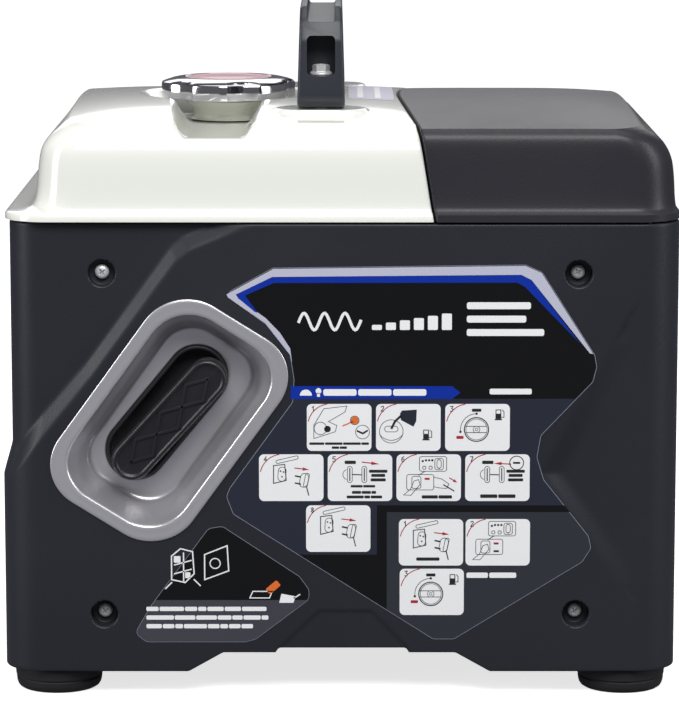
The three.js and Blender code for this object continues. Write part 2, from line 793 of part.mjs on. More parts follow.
// ---- Starter dish, socket, grip and rope ----
const face = -halfY;
function dishRing(t, grow, y) {
  const length = THREE.MathUtils.lerp(dishLength - 2 * rimWidth, dishFloorLength, t) + 2 * grow;
  const width = THREE.MathUtils.lerp(dishWidth - 2 * rimWidth, dishFloorWidth, t) + 2 * grow;
  const r = THREE.MathUtils.lerp(dishR - rimWidth, dishFloorR, t) + grow;
  return ringAtY(turnedRect(dishX, dishZ, length, width, r, dishAngle, 6, dishSkew), y);
}
const dishSheet = 1.2;
function recoilDish() {
  const rim = prismY(dishOuter(0), face - gap - rimStand, face - gap);
  const bowl = loft(
    [dishRing(0, dishSheet, face - gap - 0.1), dishRing(1, dishSheet, face + dishDepth)],
    flatXZ,
  );
  const hollow = loft(
    [
      dishRing(-0.15, 0, face - gap - rimStand - 4),
      dishRing(0, 0, face - gap - rimStand),
      dishRing(1, 0, face + dishDepth - dishSheet),
    ],
    flatXZ,
  );
  const slot = prismY(
    turnedRect(slotX, slotZ, slotLength, slotWidth, slotWidth / 2 - 0.1, slotAngle, 6),
    face,
    face + 60,
  );
  return cut(rim.add(bowl), hollow, slot);
}
add("recoil_dish", recoilDish(), stainless);

const socketFront = face + dishDepth - dishSheet - 2.5;
const socketBack = recoilFront - gap;
const stadium = (length, width, y0, y1) =>
  prismY(turnedRect(slotX, slotZ, length, width, width / 2 - 0.1, slotAngle, 6), y0, y1);
const ropeHole = (y0, y1, grow) => rodY(gripX, y0, y1, gripZ, ropeR + grow, 16);
function recoilSocket() {
  const body = stadium(slotLength - 2 * gap, slotWidth - 2 * gap, socketFront, socketBack);
  const pocket = stadium(slotLength - 6, slotWidth - 6, socketFront - 1, socketFront + 12);
  return cut(body, pocket, ropeHole(socketFront, socketBack + 5, 1.2));
}
add("recoil_socket", recoilSocket(), blackPlastic);

const gripFace = face + gripSink;
const gripBack = gripFace + gripDepth;
const gripFrontRound = 3;
const gripBackRound = 5;
const gripStemR = 8;
const gripStem = 10; // length of the stem behind the grip
// One ring of the grip, drawn in at its ends and its sides.
function gripRing(ends, sides, y) {
  const width = gripWidth - sides;
  return ringAtY(turnedRect(gripX, gripZ, gripLength - ends, width, width / 2 - 0.1, gripAngle), y);
}
function recoilGrip() {
  const rounded = [
    gripRing(5, 5, gripFace),
    gripRing(0, 0, gripFace + gripFrontRound),
    gripRing(0, 0, gripBack - gripBackRound),
    gripRing(8, 6, gripBack),
  ];
  const stem = rodY(gripX, gripBack - 2, gripBack + gripStem, gripZ, gripStemR, 20);
  return join(loft(rounded, flatXZ), stem);
}
add("recoil_grip", recoilGrip(), rubber);
add(
  "recoil_rope",
  rodY(gripX, gripBack + gripStem + gap, recoilFront - gap, gripZ, ropeR, 10),
  ropeWhite,
);

function recoilHousing() {
  const outer = turnedY(crankX, crankZ, [
    [0, recoilFront],
    [recoilR - 8, recoilFront],
    [recoilR, recoilFront + 8],
    [recoilR, recoilBack],
    [0, recoilBack],
  ], 32);
  const hollow = turnedY(crankX, crankZ, [
    [0, recoilFront + 2.5],
    [recoilR - 9.5, recoilFront + 2.5],
    [recoilR - 2.5, recoilFront + 9],
    [recoilR - 2.5, recoilBack + 5],
    [0, recoilBack + 5],
  ], 32);
  const spokes = 6;
  const vents = [];
  for (let i = 0; i < spokes; i += 1) {
    const angle = (2 * Math.PI * (i + 0.5)) / spokes;
    const x = crankX + Math.cos(angle) * 62;
    const z = crankZ + Math.sin(angle) * 62;
    vents.push(rodY(x, recoilFront - 5, recoilFront + 6, z, 9, 12));
  }
  const pin = rodY(crankX, recoilFront + 1, recoilBack - 8, crankZ, 6, 16);
  return cut(join(cut(outer, hollow, ...vents), pin), ropeHole(recoilFront - 5, recoilFront + 12, 1));
}
add("recoil_housing", recoilHousing(), steel);

const reelFront = recoilFront + 10;
const reelBack = recoilBack - 8;
add(
  "recoil_reel",
  turnedY(crankX, crankZ, [
    [6.4, reelFront],
    [reelR, reelFront],
    [reelR, reelFront + 2.5],
    [ropeWindR - 8, reelFront + 2.5],
    [ropeWindR - 8, reelBack - 2.5],
    [reelR, reelBack - 2.5],
    [reelR, reelBack],
    [6.4, reelBack],
  ].reverse(), 28),
  greyPlastic,
);
add(
  "rope_winding",
  turnedY(crankX, crankZ, [
    [ropeWindR - 8 + gap, reelFront + 2.5 + gap],
    [ropeWindR, reelFront + 2.5 + gap],
    [ropeWindR, reelBack - 2.5 - gap],
    [ropeWindR - 8 + gap, reelBack - 2.5 - gap],
  ].reverse(), 24),
  ropeWhite,
);
add(
  "recoil_spring",
  turnedY(crankX, crankZ, [
    [12, recoilFront + 3.5],
    [30, recoilFront + 3.5],
    [30, reelFront - gap],
    [12, reelFront - gap],
  ].reverse(), 28),
  steel,
);

// ---- Engine and alternator on the crank axis, which runs along Y ----
const fanFront = recoilBack + 3;
const fanBack = fanFront + 20;
const rotorBack = -8;
const engineFront = -4;
const engineBack = 96;
add(
  "crankshaft",
  turnedY(crankX, crankZ, [
    [0, fanFront - 6],
    [shaftR - 2, fanFront - 6],
    [shaftR - 2, engineFront - 30],
    [shaftR, engineFront - 30],
    [shaftR, engineBack - 6],
    [0, engineBack - 6],
  ].reverse(), 24),
  steel,
);

function coolingFan() {
  const hub = turnedY(crankX, crankZ, [
    [shaftR - 2 + gap, fanFront],
    [fanR, fanFront + 14],
    [fanR, fanBack],
    [fanR - 3, fanBack],
    [fanR - 3, fanFront + 17],
    [shaftR - 2 + gap, fanFront + 4],
  ].reverse(), 28);
  const blades = 9;
  let fan = hub;
  for (let i = 0; i < blades; i += 1) {
    const blade = new THREE.BoxGeometry(34, 12, 2.4);
    blade.translate(50, fanFront + 5, 0);
    blade.rotateY((2 * Math.PI * i) / blades);
    blade.translate(crankX, 0, crankZ);
    fan = fan.add(solid(blade));
  }
  return cut(fan, rodY(crankX, fanFront - 20, fanFront - 1, crankZ, 80, 12));
}
add("cooling_fan", coolingFan(), blackPlastic);

add(
  "rotor",
  turnedY(crankX, crankZ, [
    [shaftR - 2 + gap, fanBack + gap],
    [rotorR, fanBack + gap],
    [rotorR, rotorBack],
    [rotorR - 6, rotorBack],
    [rotorR - 6, fanBack + gap + 5],
    [shaftR + 8, fanBack + gap + 5],
    [shaftR + 8, fanBack + 16],
    [shaftR - 2 + gap, fanBack + 16],
  ].reverse(), 28),
  castAlloy,
);
const statorInner = 24;
const statorOuter = rotorR - 7.5;
function stator() {
  const body = turnedY(crankX, crankZ, [
    [statorInner, fanBack + 7],
    [statorOuter, fanBack + 7],
    [statorOuter, engineFront - gap - 1],
    [statorInner, engineFront - gap - 1],
  ].reverse(), 28);
  const teeth = 12;
  const slots = [];
  for (let i = 0; i < teeth; i += 1) {
    const angle = (2 * Math.PI * i) / teeth;
    const x = crankX + Math.cos(angle) * (statorOuter - 6);
    const z = crankZ + Math.sin(angle) * (statorOuter - 6);
    slots.push(rodY(x, fanBack, fanBack + 14, z, 2.4, 6));
  }
  return cut(body, ...slots);
}
add("stator", stator(), copper);

const caseHalfWidth = 62;
function crankcase() {
  const outline = roundedRect(
    crankX - caseHalfWidth,
    crankX + caseHalfWidth,
    mountTop + 6,
    crankZ + 58,
    22,
  );
  const body = prismY(outline, engineFront, engineBack);
  const foot = block(crankX - 70, crankX + 70, 16, engineBack + 12, mountTop, mountTop + 8);
  const bore = rodY(crankX, engineFront - 5, engineBack - 5, crankZ, shaftR + gap, 24);
  const filler = rod([crankX + 20, 80, 90], [crankX + 95, 80, 90], 11, 16);
  const fillerBore = rod([crankX + 30, 80, 90], [crankX + 110, 80, 90], 6, 16);
  return cut(join(body, foot, filler), bore, fillerBore);
}
add("crankcase", crankcase(), castAlloy);
const dipstickX = crankX + 95;
add(
  "oil_dipstick",
  join(
    rodX(dipstickX + gap, dipstickX + 12, 80, 90, 13, 20),
    rodX(dipstickX - 50, dipstickX + 4, 80, 90, 3, 10),
  ),
  red,
);

// The cylinder leans to the exhaust side.
const cylinderMidY = 46;
const lean = THREE.MathUtils.degToRad(25);
const alongCylinder = new THREE.Vector3(Math.cos(lean), 0, Math.sin(lean));
const crankTop = crankZ + 14;
const onCylinder = (distance) => [
  crankX + alongCylinder.x * distance,
  cylinderMidY,
  crankTop + alongCylinder.z * distance,
];
function finned(from, to, radius, fins) {
  let body = rod(onCylinder(from), onCylinder(to), radius - 8, 18);
  for (let i = 0; i < fins; i += 1) {
    const at = from + ((to - from) * (i + 0.5)) / fins;
    body = body.add(rod(onCylinder(at - 1.2), onCylinder(at + 1.2), radius, 18));
  }
  return body;
}
const cylinderEnd = 122;
const crankcaseBlock = prismY(
  roundedRect(
    crankX - caseHalfWidth - gap,
    crankX + caseHalfWidth + gap,
    mountTop + 6 - gap,
    crankZ + 58 + gap,
    22,
  ),
  engineFront - gap,
  engineBack + gap,
);
add("cylinder", cut(finned(58, cylinderEnd, 40, 5), crankcaseBlock), castAlloy);
const headEnd = cylinderEnd + 38;
const headBox = rod(onCylinder(cylinderEnd + 20), onCylinder(headEnd), 34, 4);
add(
  "cylinder_head",
  cut(
    join(rod(onCylinder(cylinderEnd + gap), onCylinder(cylinderEnd + 22), 38, 20), headBox),
    rod([crankX + 130, cylinderMidY - 60, 214], [crankX + 124, cylinderMidY - 26, 211], 6.4, 12),
  ),
  castAlloy,
);
add(
  "spark_plug",
  join(
    rod([crankX + 130, cylinderMidY - 60, 214], [crankX + 124.6, cylinderMidY - 29, 211.3], 5.5, 12),
    rod([crankX + 131.6, cylinderMidY - 70, 214.8], [crankX + 130, cylinderMidY - 58, 214], 8, 16),
  ),
  blackPlastic,
);

// Muffler beside the exhaust end, with its tail pipe through the end panel.
const mufflerX = 158;
const mufflerZ = 140;
const tailY = 30;
function muffler() {
  const outline = roundedRect(mufflerX - 26, mufflerX + 26, mufflerZ - 50, mufflerZ + 30, 18);
  const body = prismY(outline, -60, 100);
  const bore = rodX(mufflerX + 10, mufflerX + 40, tailY, mufflerZ, 11, 20);
  return cut(body, bore);
}
add("muffler", muffler(), steel);
add(
  "exhaust_outlet",
  cut(
    join(
      rodX(mufflerX + 26 + gap, halfX - 1, tailY, mufflerZ, 15, 24),
      rodX(mufflerX + 12, mufflerX + 30, tailY, mufflerZ, 10.5, 20),
    ),
    rodX(mufflerX + 5, halfX + 5, tailY, mufflerZ, 8, 20),
  ),
  stainless,
);

// Fuel and air side above the engine.
const carburetorX = 96;
const carburetorY = 108;
add(
  "carburetor",
  join(
    block(carburetorX - 20, carburetorX + 20, carburetorY - 20, carburetorY + 18, 236, 270),
    rodZ(carburetorX, carburetorY, 222, 240, 17, 24),
    rodZ(carburetorX, carburetorY, 268, 292, 13, 24),
  ),
  castAlloy,
);
function airFilterBox() {
  const left = seamX + 30;
  const outline = roundedRect(left, halfX - 30, 10, 130, 14);
  const body = prismZ(outline, 292 + gap, 362);
  const inner = prismZ(roundedRect(left + wall, halfX - 30 - wall, 10 + wall, 130 - wall, 11), 296, 359);
  return cut(body, inner, rodZ(carburetorX, carburetorY, 280, 300, 9, 20), rodY(150, 5, 20, 330, 12, 20));
}
add("air_filter_box", airFilterBox(), blackPlastic);

function inverterModule() {
  const body = block(-180, -124, 14, 122, 46, 180);
  const grooves = [];
  for (let i = 0; i < 8; i += 1) {
    grooves.push(block(-130, -119, 18 + i * 13, 25 + i * 13, 40, 190));
  }
  return cut(body, ...grooves);
}
add("inverter_module", inverterModule(), castAlloy);

// ---- Control end ----
const windowY = 78;
const windowLow = 66;
const windowHigh = 290;
const fasciaOut = -halfX + stepDepth + wall + gap; // outer face of the fascia
const fasciaIn = fasciaOut + sheet;
const openingLeft = prismX(
  roundedRect(-windowY, windowY, windowLow, windowHigh, 12),
  -halfX - 20,
  -halfX + 30,
);
add("end_panel_control", cut(shell.intersect(leftRegion), openingLeft), blackPlastic);

// Places on the fascia, along Y (positive is away from the front cover) and up Z.
const outletSpots = [
  [38, 118],
  [-14, 118],
];
const outletHalf = 19;
const dcSpot = [-52, 190];
const breakerSpot = [-56, 140];
const engineSwitchSpot = [38, 246];
const ecoSwitchSpot = [-6, 246];
const fuelValveSpot = [-48, 246];
const chokeSpot = [38, 190];
const groundSpot = [-56, 84];
const knobDepth = 6;
const rockerHalfY = 12;
const rockerHalfZ = 16;

function controlFascia() {
  const reach = 5;
  const plate = prismX(
    roundedRect(-windowY - reach, windowY + reach, windowLow - reach, windowHigh + reach, 10),
    fasciaOut,
    fasciaIn,
  );
  const hole = ([y, z], r) => rodX(fasciaOut - 5, fasciaIn + 5, y, z, r, 20);
  const pocket = ([y, z], dy, dz) => block(fasciaOut - 5, fasciaIn + 5, y - dy, y + dy, z - dz, z + dz);
  return cut(
    plate,
    ...outletSpots.map((spot) => hole(spot, 15)),
    hole(breakerSpot, 5.5),
    pocket(engineSwitchSpot, rockerHalfY, rockerHalfZ),
    pocket(ecoSwitchSpot, rockerHalfY, rockerHalfZ),
    hole(dcSpot, 12),
    hole(fuelValveSpot, 5.4),
    hole(chokeSpot, 4.4),
    hole(groundSpot, 3.4),
  );
}
add("control_fascia", controlFascia(), greyPlastic);

const coverBarrelR = 1.8;
const outletFace = fasciaOut - 5;
outletSpots.forEach(([y, z], i) => {
  const flange = prismX(
    roundedRect(y - outletHalf, y + outletHalf, z - outletHalf, z + outletHalf, 5),
    outletFace,
    fasciaOut - gap,
  );
  const body = rodX(fasciaOut - 2, fasciaIn + 22, y, z, 14.5, 24);
  const pins = [-6.5, 6.5].map((dy) =>
    block(outletFace - 5, fasciaOut + 12, y + dy - 1, y + dy + 1, z - 4, z + 4),
  );
  const earth = rodX(outletFace - 5, fasciaOut + 12, y, z - 9, 2.6, 12);
  add(`ac_outlet_${i + 1}`, cut(flange.add(body), ...pins, earth), blackPlastic);
  const lidFace = outletFace - gap;
  const cover = prismX(
    roundedRect(y - outletHalf, y + outletHalf, z - outletHalf, z + outletHalf + 2, 4),
    lidFace - 2.5,
    lidFace,
  );
  const hingeZ = z + outletHalf + 3;
  const hingeX = lidFace - coverBarrelR;
  const barrel = rod([hingeX, y - 14, hingeZ], [hingeX, y + 14, hingeZ], coverBarrelR, 12);
  add(`outlet_cover_${i + 1}`, join(cover, barrel), greyPlastic);
});

add(
  "dc_outlet",
  cut(
    join(
      rodX(outletFace, fasciaOut - gap, ...dcSpot, 16, 24),
      rodX(fasciaOut - 2, fasciaIn + 20, ...dcSpot, 11.5, 24),
    ),
    rodX(outletFace - 5, fasciaOut + 14, ...dcSpot, 9, 20),
  ),
  blackPlastic,
);
add("breaker_button", rodX(fasciaOut - 5, fasciaIn + 6, ...breakerSpot, 5, 20), red);

// A rocker: a slim wedge that turns about its middle, inside the fascia's pocket.
function rocker([y, z]) {
  const halfZ = rockerHalfZ - 1.2;
  const outline = asPoints([
    [fasciaOut - 4.4, z + halfZ],
    [fasciaOut - 2.2, z],
    [fasciaOut - 0.6, z - halfZ],
    [fasciaOut + 4, z - halfZ + 2],
    [fasciaOut + 8, z],
    [fasciaOut + 4, z + halfZ - 2],
  ]);
  return prismY(outline, y - rockerHalfY + 0.6, y + rockerHalfY - 0.6);
}
add("engine_switch_rocker", rocker(engineSwitchSpot), red);
add("eco_switch_rocker", rocker(ecoSwitchSpot), blackPlastic);

function knob([y, z], radius, depth, stemR, ribs) {
  const front = fasciaOut - 1 - depth;
  const steps = ribs * 4;
  const outline = [];
  for (let i = 0; i < steps; i += 1) {
    const angle = (2 * Math.PI * i) / steps;
    const r = radius - (i % 4 < 2 ? 0 : 1.4);
    outline.push(new THREE.Vector2(y + Math.cos(angle) * r, z + Math.sin(angle) * r));
  }
  return join(prismX(outline, front, fasciaOut - 1), rodX(fasciaOut - 3, fasciaIn + 18, y, z, stemR, 20));
}
function fuelValveKnob() {
  const [y, z] = fuelValveSpot;
  const front = fasciaOut - 1 - knobDepth;
  const bar = prismX(roundedRect(y - 20, y + 20, z - 6, z + 6, 5.8), front - 2, front + 2);
  return join(knob(fuelValveSpot, 18, knobDepth, 5, 9), bar);
}
add("fuel_valve_knob", fuelValveKnob(), blackPlastic);
add("choke_knob", knob(chokeSpot, 12, knobDepth, 4, 8), blackPlastic);
add(
  "ground_terminal",
  join(
    rodX(fasciaOut - 9, fasciaIn + 8, ...groundSpot, 3, 16),
    rodX(fasciaOut - 5, fasciaOut - gap, ...groundSpot, 6, 6),
  ),
  steel,
);

// ---- Exhaust end ----
function exhaustEnd() {
  const louvres = [];
  for (let i = 0; i < 9; i += 1) {
    const z = 186 + i * 13;
    louvres.push(block(halfX - 20, halfX + 10, -80, 80, z, z + 6));
  }
  for (let i = 0; i < 4; i += 1) {
    const z = 50 + i * 13;
    louvres.push(block(halfX - 20, halfX + 10, -80, 80, z, z + 6));
  }
  const ribs = block(halfX - 8, halfX, -84, 84, 180, 305).subtract(
    block(halfX - 9, halfX + 1, -80, 80, 184, 301),
  );
  return cut(
    join(shell.intersect(rightRegion), ribs.intersect(fullCase)),
    ...louvres.map((slot) => cut(slot, block(halfX - 30, halfX + 20, -2, 2, 0, 330))),
    rodX(halfX - 20, halfX + 10, tailY, mufflerZ, 16, 28),
  );
}
add("end_panel_exhaust", exhaustEnd(), blackPlastic);

// ---- Labels, thin skins on their faces ----
const labelOutline = asPoints([
  [-74, 273.3],
  [-44, 289.3],
  [122, 291.3],
  [133, 286.3],
  [168, 231.3],
  [169.5, 223.3],
  [167, 213.3],
  [133, 177.3],
  [130.5, 162.8],
  [135, 147.8],
  [165, 109.8],
  [167, 101.3],
  [161, 91.8],
  [76, 39.3],
  [62, 39.3],
  [-71, 124.3],
  [-75.5, 136.3],
  [-73, 142.3],
  [-31.5, 199.8],
  [-30.5, 214.8],
  [-33, 231.3],
  [-49, 251.8],
]);
const oilOutline = asPoints([
  [-137, 43.3],
  [-126, 62.3],
  [-87.5, 114.8],
  [-78, 116.3],
  [-27, 82.3],
  [-20.5, 73.3],
  [-20.5, 66.3],
  [-56, 39.3],
  [-63, 37.3],
  [-129, 37.3],
]);
const labelBack = face - 0.1;
const headRoom = screwSpots.map(([x, z]) => rodY(x, face - 5, face + 5, z, counterboreR + 1, 24));
const dishRoom = prismY(dishOuter(1), face - 10, face + 10);
const recessRoom = prismY(
  asPoints([
    [recessX - 12, recessZ],
    [recessX + 35, recessZ + 87],
    [recessX + 69, recessZ + 87],
    [recessX + 69, recessZ - 78],
    [recessX + 43, recessZ - 78],
  ]),
  face - 9,
  face + 9,
);
add(
  "instruction_label",
  cut(prismY(labelOutline, labelBack - skin, labelBack), ...headRoom, dishRoom, recessRoom),
  labelInk,
);
add("oil_label", cut(prismY(oilOutline, labelBack - skin, labelBack), ...headRoom, dishRoom), labelInk);

export default product;
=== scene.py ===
"""Portable inverter generator: fine surfaces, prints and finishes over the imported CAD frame.

Lengths in the classes are millimetres, as on the maker's drawing; mesh helpers turn them to metres.
"""

import logging
import math
from dataclasses import dataclass, field, replace
from enum import Enum
from typing import Callable, ClassVar, Iterable, Sequence

import bmesh
import bpy
import numpy as np
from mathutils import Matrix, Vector


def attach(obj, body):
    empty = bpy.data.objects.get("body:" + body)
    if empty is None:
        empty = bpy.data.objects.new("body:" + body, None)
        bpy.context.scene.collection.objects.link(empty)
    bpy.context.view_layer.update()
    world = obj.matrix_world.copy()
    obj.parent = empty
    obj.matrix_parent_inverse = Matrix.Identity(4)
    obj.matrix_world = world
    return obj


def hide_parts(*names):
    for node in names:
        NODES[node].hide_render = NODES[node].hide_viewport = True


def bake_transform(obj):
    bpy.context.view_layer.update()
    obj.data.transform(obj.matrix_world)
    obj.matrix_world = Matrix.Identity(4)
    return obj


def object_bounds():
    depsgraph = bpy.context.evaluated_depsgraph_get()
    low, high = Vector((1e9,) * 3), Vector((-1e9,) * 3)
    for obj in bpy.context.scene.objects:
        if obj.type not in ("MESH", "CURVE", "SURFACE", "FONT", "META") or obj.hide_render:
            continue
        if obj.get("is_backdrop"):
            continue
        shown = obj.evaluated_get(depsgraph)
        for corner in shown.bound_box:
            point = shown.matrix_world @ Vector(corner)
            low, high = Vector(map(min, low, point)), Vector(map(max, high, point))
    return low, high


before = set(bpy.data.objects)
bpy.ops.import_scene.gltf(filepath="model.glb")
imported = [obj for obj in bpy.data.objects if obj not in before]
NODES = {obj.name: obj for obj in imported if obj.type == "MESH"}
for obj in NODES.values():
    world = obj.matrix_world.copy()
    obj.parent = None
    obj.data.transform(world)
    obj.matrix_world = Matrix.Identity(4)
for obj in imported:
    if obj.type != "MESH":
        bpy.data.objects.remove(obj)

LOG = logging.getLogger("generator")
MM = 0.001
Point = tuple[float, float]
Color = tuple[float, float, float]
Outline = Sequence[Point]
Shapes = list[list[Point]]
Array = np.ndarray
Piece = bpy.types.Object
Socket = bpy.types.NodeSocket
Tree = bpy.types.NodeTree


# ---- small maths
def smoothstep(edge0: float, edge1: float, value: Array) -> Array:
    """Smooth ramp from 0 at edge0 to 1 at edge1."""
    t = np.clip((value - edge0) / (edge1 - edge0), 0, 1)
    return t * t * (3 - 2 * t)


def soft_ramp(t: Array, hardness: float) -> Array:
    """A straight ramp from 0 to 1 with small round fillets at both ends."""
    def softplus(value: Array) -> Array:
        """A ramp that starts from zero with a fillet."""
        return np.logaddexp(0, hardness * value) / hardness
    return softplus(t) - softplus(t - 1)


def smooth_min(a: Array, b: Array, radius: float) -> Array:
    """The lower of two surfaces, blended over a fillet of about that radius."""
    h = np.clip(0.5 + 0.5 * (b - a) / radius, 0, 1)
    return b + (a - b) * h - radius * h * (1 - h)


def smooth_max(a: Array, b: Array, radius: float) -> Array:
    """The higher of two surfaces, blended over a fillet of about that radius."""
    return -smooth_min(-a, -b, radius)


def side_of_line(x: Array, z: Array, line: Outline) -> Array:
    """Signed distance to a polyline, positive on its right as one walks along it.

    Args:
        x: first coordinate of the points.
        z: second coordinate of the points.
        line: corners of the polyline.

    Returns:
        The signed distance of each point.
    """
    best = np.full(x.shape, 1e9)
    sign = np.ones(x.shape)
    for (ax, az), (bx, bz) in zip(line, line[1:]):
        dx, dz = bx - ax, bz - az
        share = np.clip(((x - ax) * dx + (z - az) * dz) / (dx * dx + dz * dz), 0, 1)
        gap = np.hypot(x - ax - share * dx, z - az - share * dz)
        cross = dx * (z - az) - dz * (x - ax)
        nearer = gap < best - 1e-9
        best = np.where(nearer, gap, best)
        sign = np.where(nearer, np.where(cross < 0, 1.0, -1.0), sign)
    return best * sign


def rounded_box_distance(x: Array, y: Array, half: Point, radius: float) -> Array:
    """Signed distance to a centred rounded rectangle, negative inside.

    Args:
        x: first coordinate.
        y: second coordinate.
        half: half sizes.
        radius: corner radius.

    Returns:
        The signed distance of each point.
    """
    qx = np.abs(x) - half[0] + radius
    qy = np.abs(y) - half[1] + radius
    outside = np.hypot(np.maximum(qx, 0), np.maximum(qy, 0))
    return outside + np.minimum(np.maximum(qx, qy), 0) - radius


# ---- outlines
def rounded_rect(x0: float, x1: float, y0: float, y1: float, r: float,
                 corner: int = 10, side: int = 1) -> list[Point]:
    """Counterclockwise rounded rectangle that starts on its lower right corner.

    Args:
        x0, x1, y0, y1: limits.
        r: corner radius.
        corner: steps in each corner arc.
        side: steps along each straight side.

    Returns:
        The outline's points.
    """
    points: list[Point] = []
    corners = ((x1 - r, y0 + r, -90), (x1 - r, y1 - r, 0), (x0 + r, y1 - r, 90), (x0 + r, y0 + r, 180))
    for index, (cx, cy, start) in enumerate(corners):
        for i in range(corner + 1):
            angle = math.radians(start + 90 * i / corner)
            points.append((cx + r * math.cos(angle), cy + r * math.sin(angle)))
        nx, ny, next_start = corners[(index + 1) % 4]
        angle = math.radians(next_start)
        end = (nx + r * math.cos(angle), ny + r * math.sin(angle))
        last = points[-1]
        for i in range(1, side):
            share = i / side
            points.append((last[0] + (end[0] - last[0]) * share, last[1] + (end[1] - last[1]) * share))
    return points


def placed(points: Iterable[Point], at: Point, degrees: float = 0.0, skew: float = 0.0) -> list[Point]:
    """Leans, turns and moves a centred outline.

    Args:
        points: the outline.
        at: where its centre goes.
        degrees: turn.
        skew: lean of its height.

    Returns:
        The moved outline.
    """
    c, s = math.cos(math.radians(degrees)), math.sin(math.radians(degrees))
    out = []
    for x, y in points:
        x -= skew * y
        out.append((at[0] + c * x - s * y, at[1] + s * x + c * y))
    return out


def stadium(length: float, width: float, corner: int = 16, side: int = 8) -> list[Point]:
    """A centred stadium outline with its long axis along x."""
    return rounded_rect(-length / 2, length / 2, -width / 2, width / 2, width / 2 - 0.01, corner, side)


def round_corners(points: Outline, radius: float, steps: int = 6) -> list[Point]:
    """Rounds each corner of a polygon, limited by its shorter side.

    Args:
        points: the polygon.
        radius: rounding.
        steps: points on each rounding.

    Returns:
        The finer outline.
    """
    out: list[Point] = []
    count = len(points)
    for i, corner in enumerate(points):
        a = Vector(points[i - 1]) - Vector(corner)
        b = Vector(points[(i + 1) % count]) - Vector(corner)
        half = a.angle(b) / 2
        cut = min(radius / max(math.tan(half), 1e-3), a.length * 0.45, b.length * 0.45)
        start = Vector(corner) + a.normalized() * cut
        end = Vector(corner) + b.normalized() * cut
        for step in range(steps + 1):
            t = step / steps
            point = start * (1 - t) ** 2 + Vector(corner) * 2 * t * (1 - t) + end * t * t
            out.append((point.x, point.y))
    return out


def inset(points: Outline, amount: float) -> list[Point]:
    """Moves a fine outline inwards along its own normals.

    Args:
        points: the outline.
        amount: how far in.

    Returns:
        The moved outline.
    """
    array = np.array(points)
    tangent = np.roll(array, -1, 0) - np.roll(array, 1, 0)
    normal = np.stack([-tangent[:, 1], tangent[:, 0]], 1)
    normal /= np.maximum(np.linalg.norm(normal, axis=1, keepdims=True), 1e-9)
    area = np.sum(array[:, 0] * np.roll(array[:, 1], -1) - np.roll(array[:, 0], -1) * array[:, 1])
    moved = array + normal * amount * np.sign(area)
    return [tuple(point) for point in moved]


# ---- mesh helpers
def make_object(name: str, verts: Sequence[Sequence[float]], faces: Sequence[Sequence[int]],
                sharp: float = 40.0) -> Piece:
    """Makes a mesh object from millimetre vertices, with smooth faces and outward normals.

    Args:
        name: the piece's name.
        verts: vertices in millimetres.
        faces: vertex indices of each face.
        sharp: edges steeper than this many degrees stay crisp.

    Returns:
        The new object, linked to the scene.
    """
    mesh = bpy.data.meshes.new(name)
    mesh.from_pydata((np.asarray(verts, float) * MM).tolist(), [], [list(f) for f in faces])
    body = bmesh.new()
    body.from_mesh(mesh)
    bmesh.ops.remove_doubles(body, verts=body.verts, dist=1e-6)
    bmesh.ops.recalc_face_normals(body, faces=body.faces)
    body.to_mesh(mesh)
    body.free()
    obj = bpy.data.objects.new(name, mesh)
    bpy.context.collection.objects.link(obj)
    shade(obj, sharp)
    return obj


def shade(obj: Piece, sharp: float = 40.0) -> None:
    """Smooths all faces and keeps edges steeper than the angle crisp."""
    mesh = obj.data
    mesh.polygons.foreach_set("use_smooth", [True] * len(mesh.polygons))
    mesh.set_sharp_from_angle(angle=math.radians(sharp))


def tube_faces(rings: int, count: int) -> list[tuple[int, ...]]:
    """Quads between successive rings of equally many points.

    Args:
        rings: number of rings.
        count: points in each.

    Returns:
        The faces.
    """
    faces = []
    for ring in range(rings - 1):
        for i in range(count):
            j = (i + 1) % count
            a, b = ring * count, (ring + 1) * count
            faces.append((a + i, a + j, b + j, b + i))
    return faces


def loft(name: str, rings: Sequence[Sequence[Sequence[float]]], cap_start: bool = True,
         cap_end: bool = True, sharp: float = 40.0) -> Piece:
    """A body through rings of equally many points, capped where asked.

    Args:
        name: the piece's name.
        rings: the rings in order.
        cap_start: closes the first ring.
        cap_end: closes the last ring.
        sharp: angle for crisp edges.

    Returns:
        The new object.
    """
    count = len(rings[0])
    faces = tube_faces(len(rings), count)
    if cap_start:
        faces.append(tuple(reversed(range(count))))
    if cap_end:
        base = (len(rings) - 1) * count
        faces.append(tuple(base + i for i in range(count)))
    return make_object(name, [p for ring in rings for p in ring], faces, sharp)


def on_y(points: Iterable[Point], y: float) -> list[tuple[float, float, float]]:
    """Puts a flat (x, z) outline at a depth."""
    return [(x, y, z) for x, z in points]


def lathe(name: str, profile: Outline, centre: Sequence[float], axis: str = "Z",
          steps: int = 64, sharp: float = 40.0) -> Piece:
    """A turned piece.

    Args:
        name: the piece's name.
        profile: (radius, position along the axis) pairs; radius 0 closes an end.
        centre: a point on the axis, whose coordinate along the axis is added to the profile's.
        axis: X, Y or Z.
        steps: facets round the axis.
        sharp: angle for crisp edges.

    Returns:
        The new object.
    """
    cx, cy, cz = centre
    rings = []
    for r, h in profile:
        ring = []
        for i in range(steps):
            a = 2 * math.pi * i / steps
            u, v = max(r, 1e-4) * math.cos(a), max(r, 1e-4) * math.sin(a)
            if axis == "Z":
                ring.append((cx + u, cy + v, cz + h))
            elif axis == "Y":
                ring.append((cx + u, cy + h, cz + v))
            else:
                ring.append((cx + h, cy + u, cz + v))
        rings.append(ring)
    return loft(name, rings, True, True, sharp)


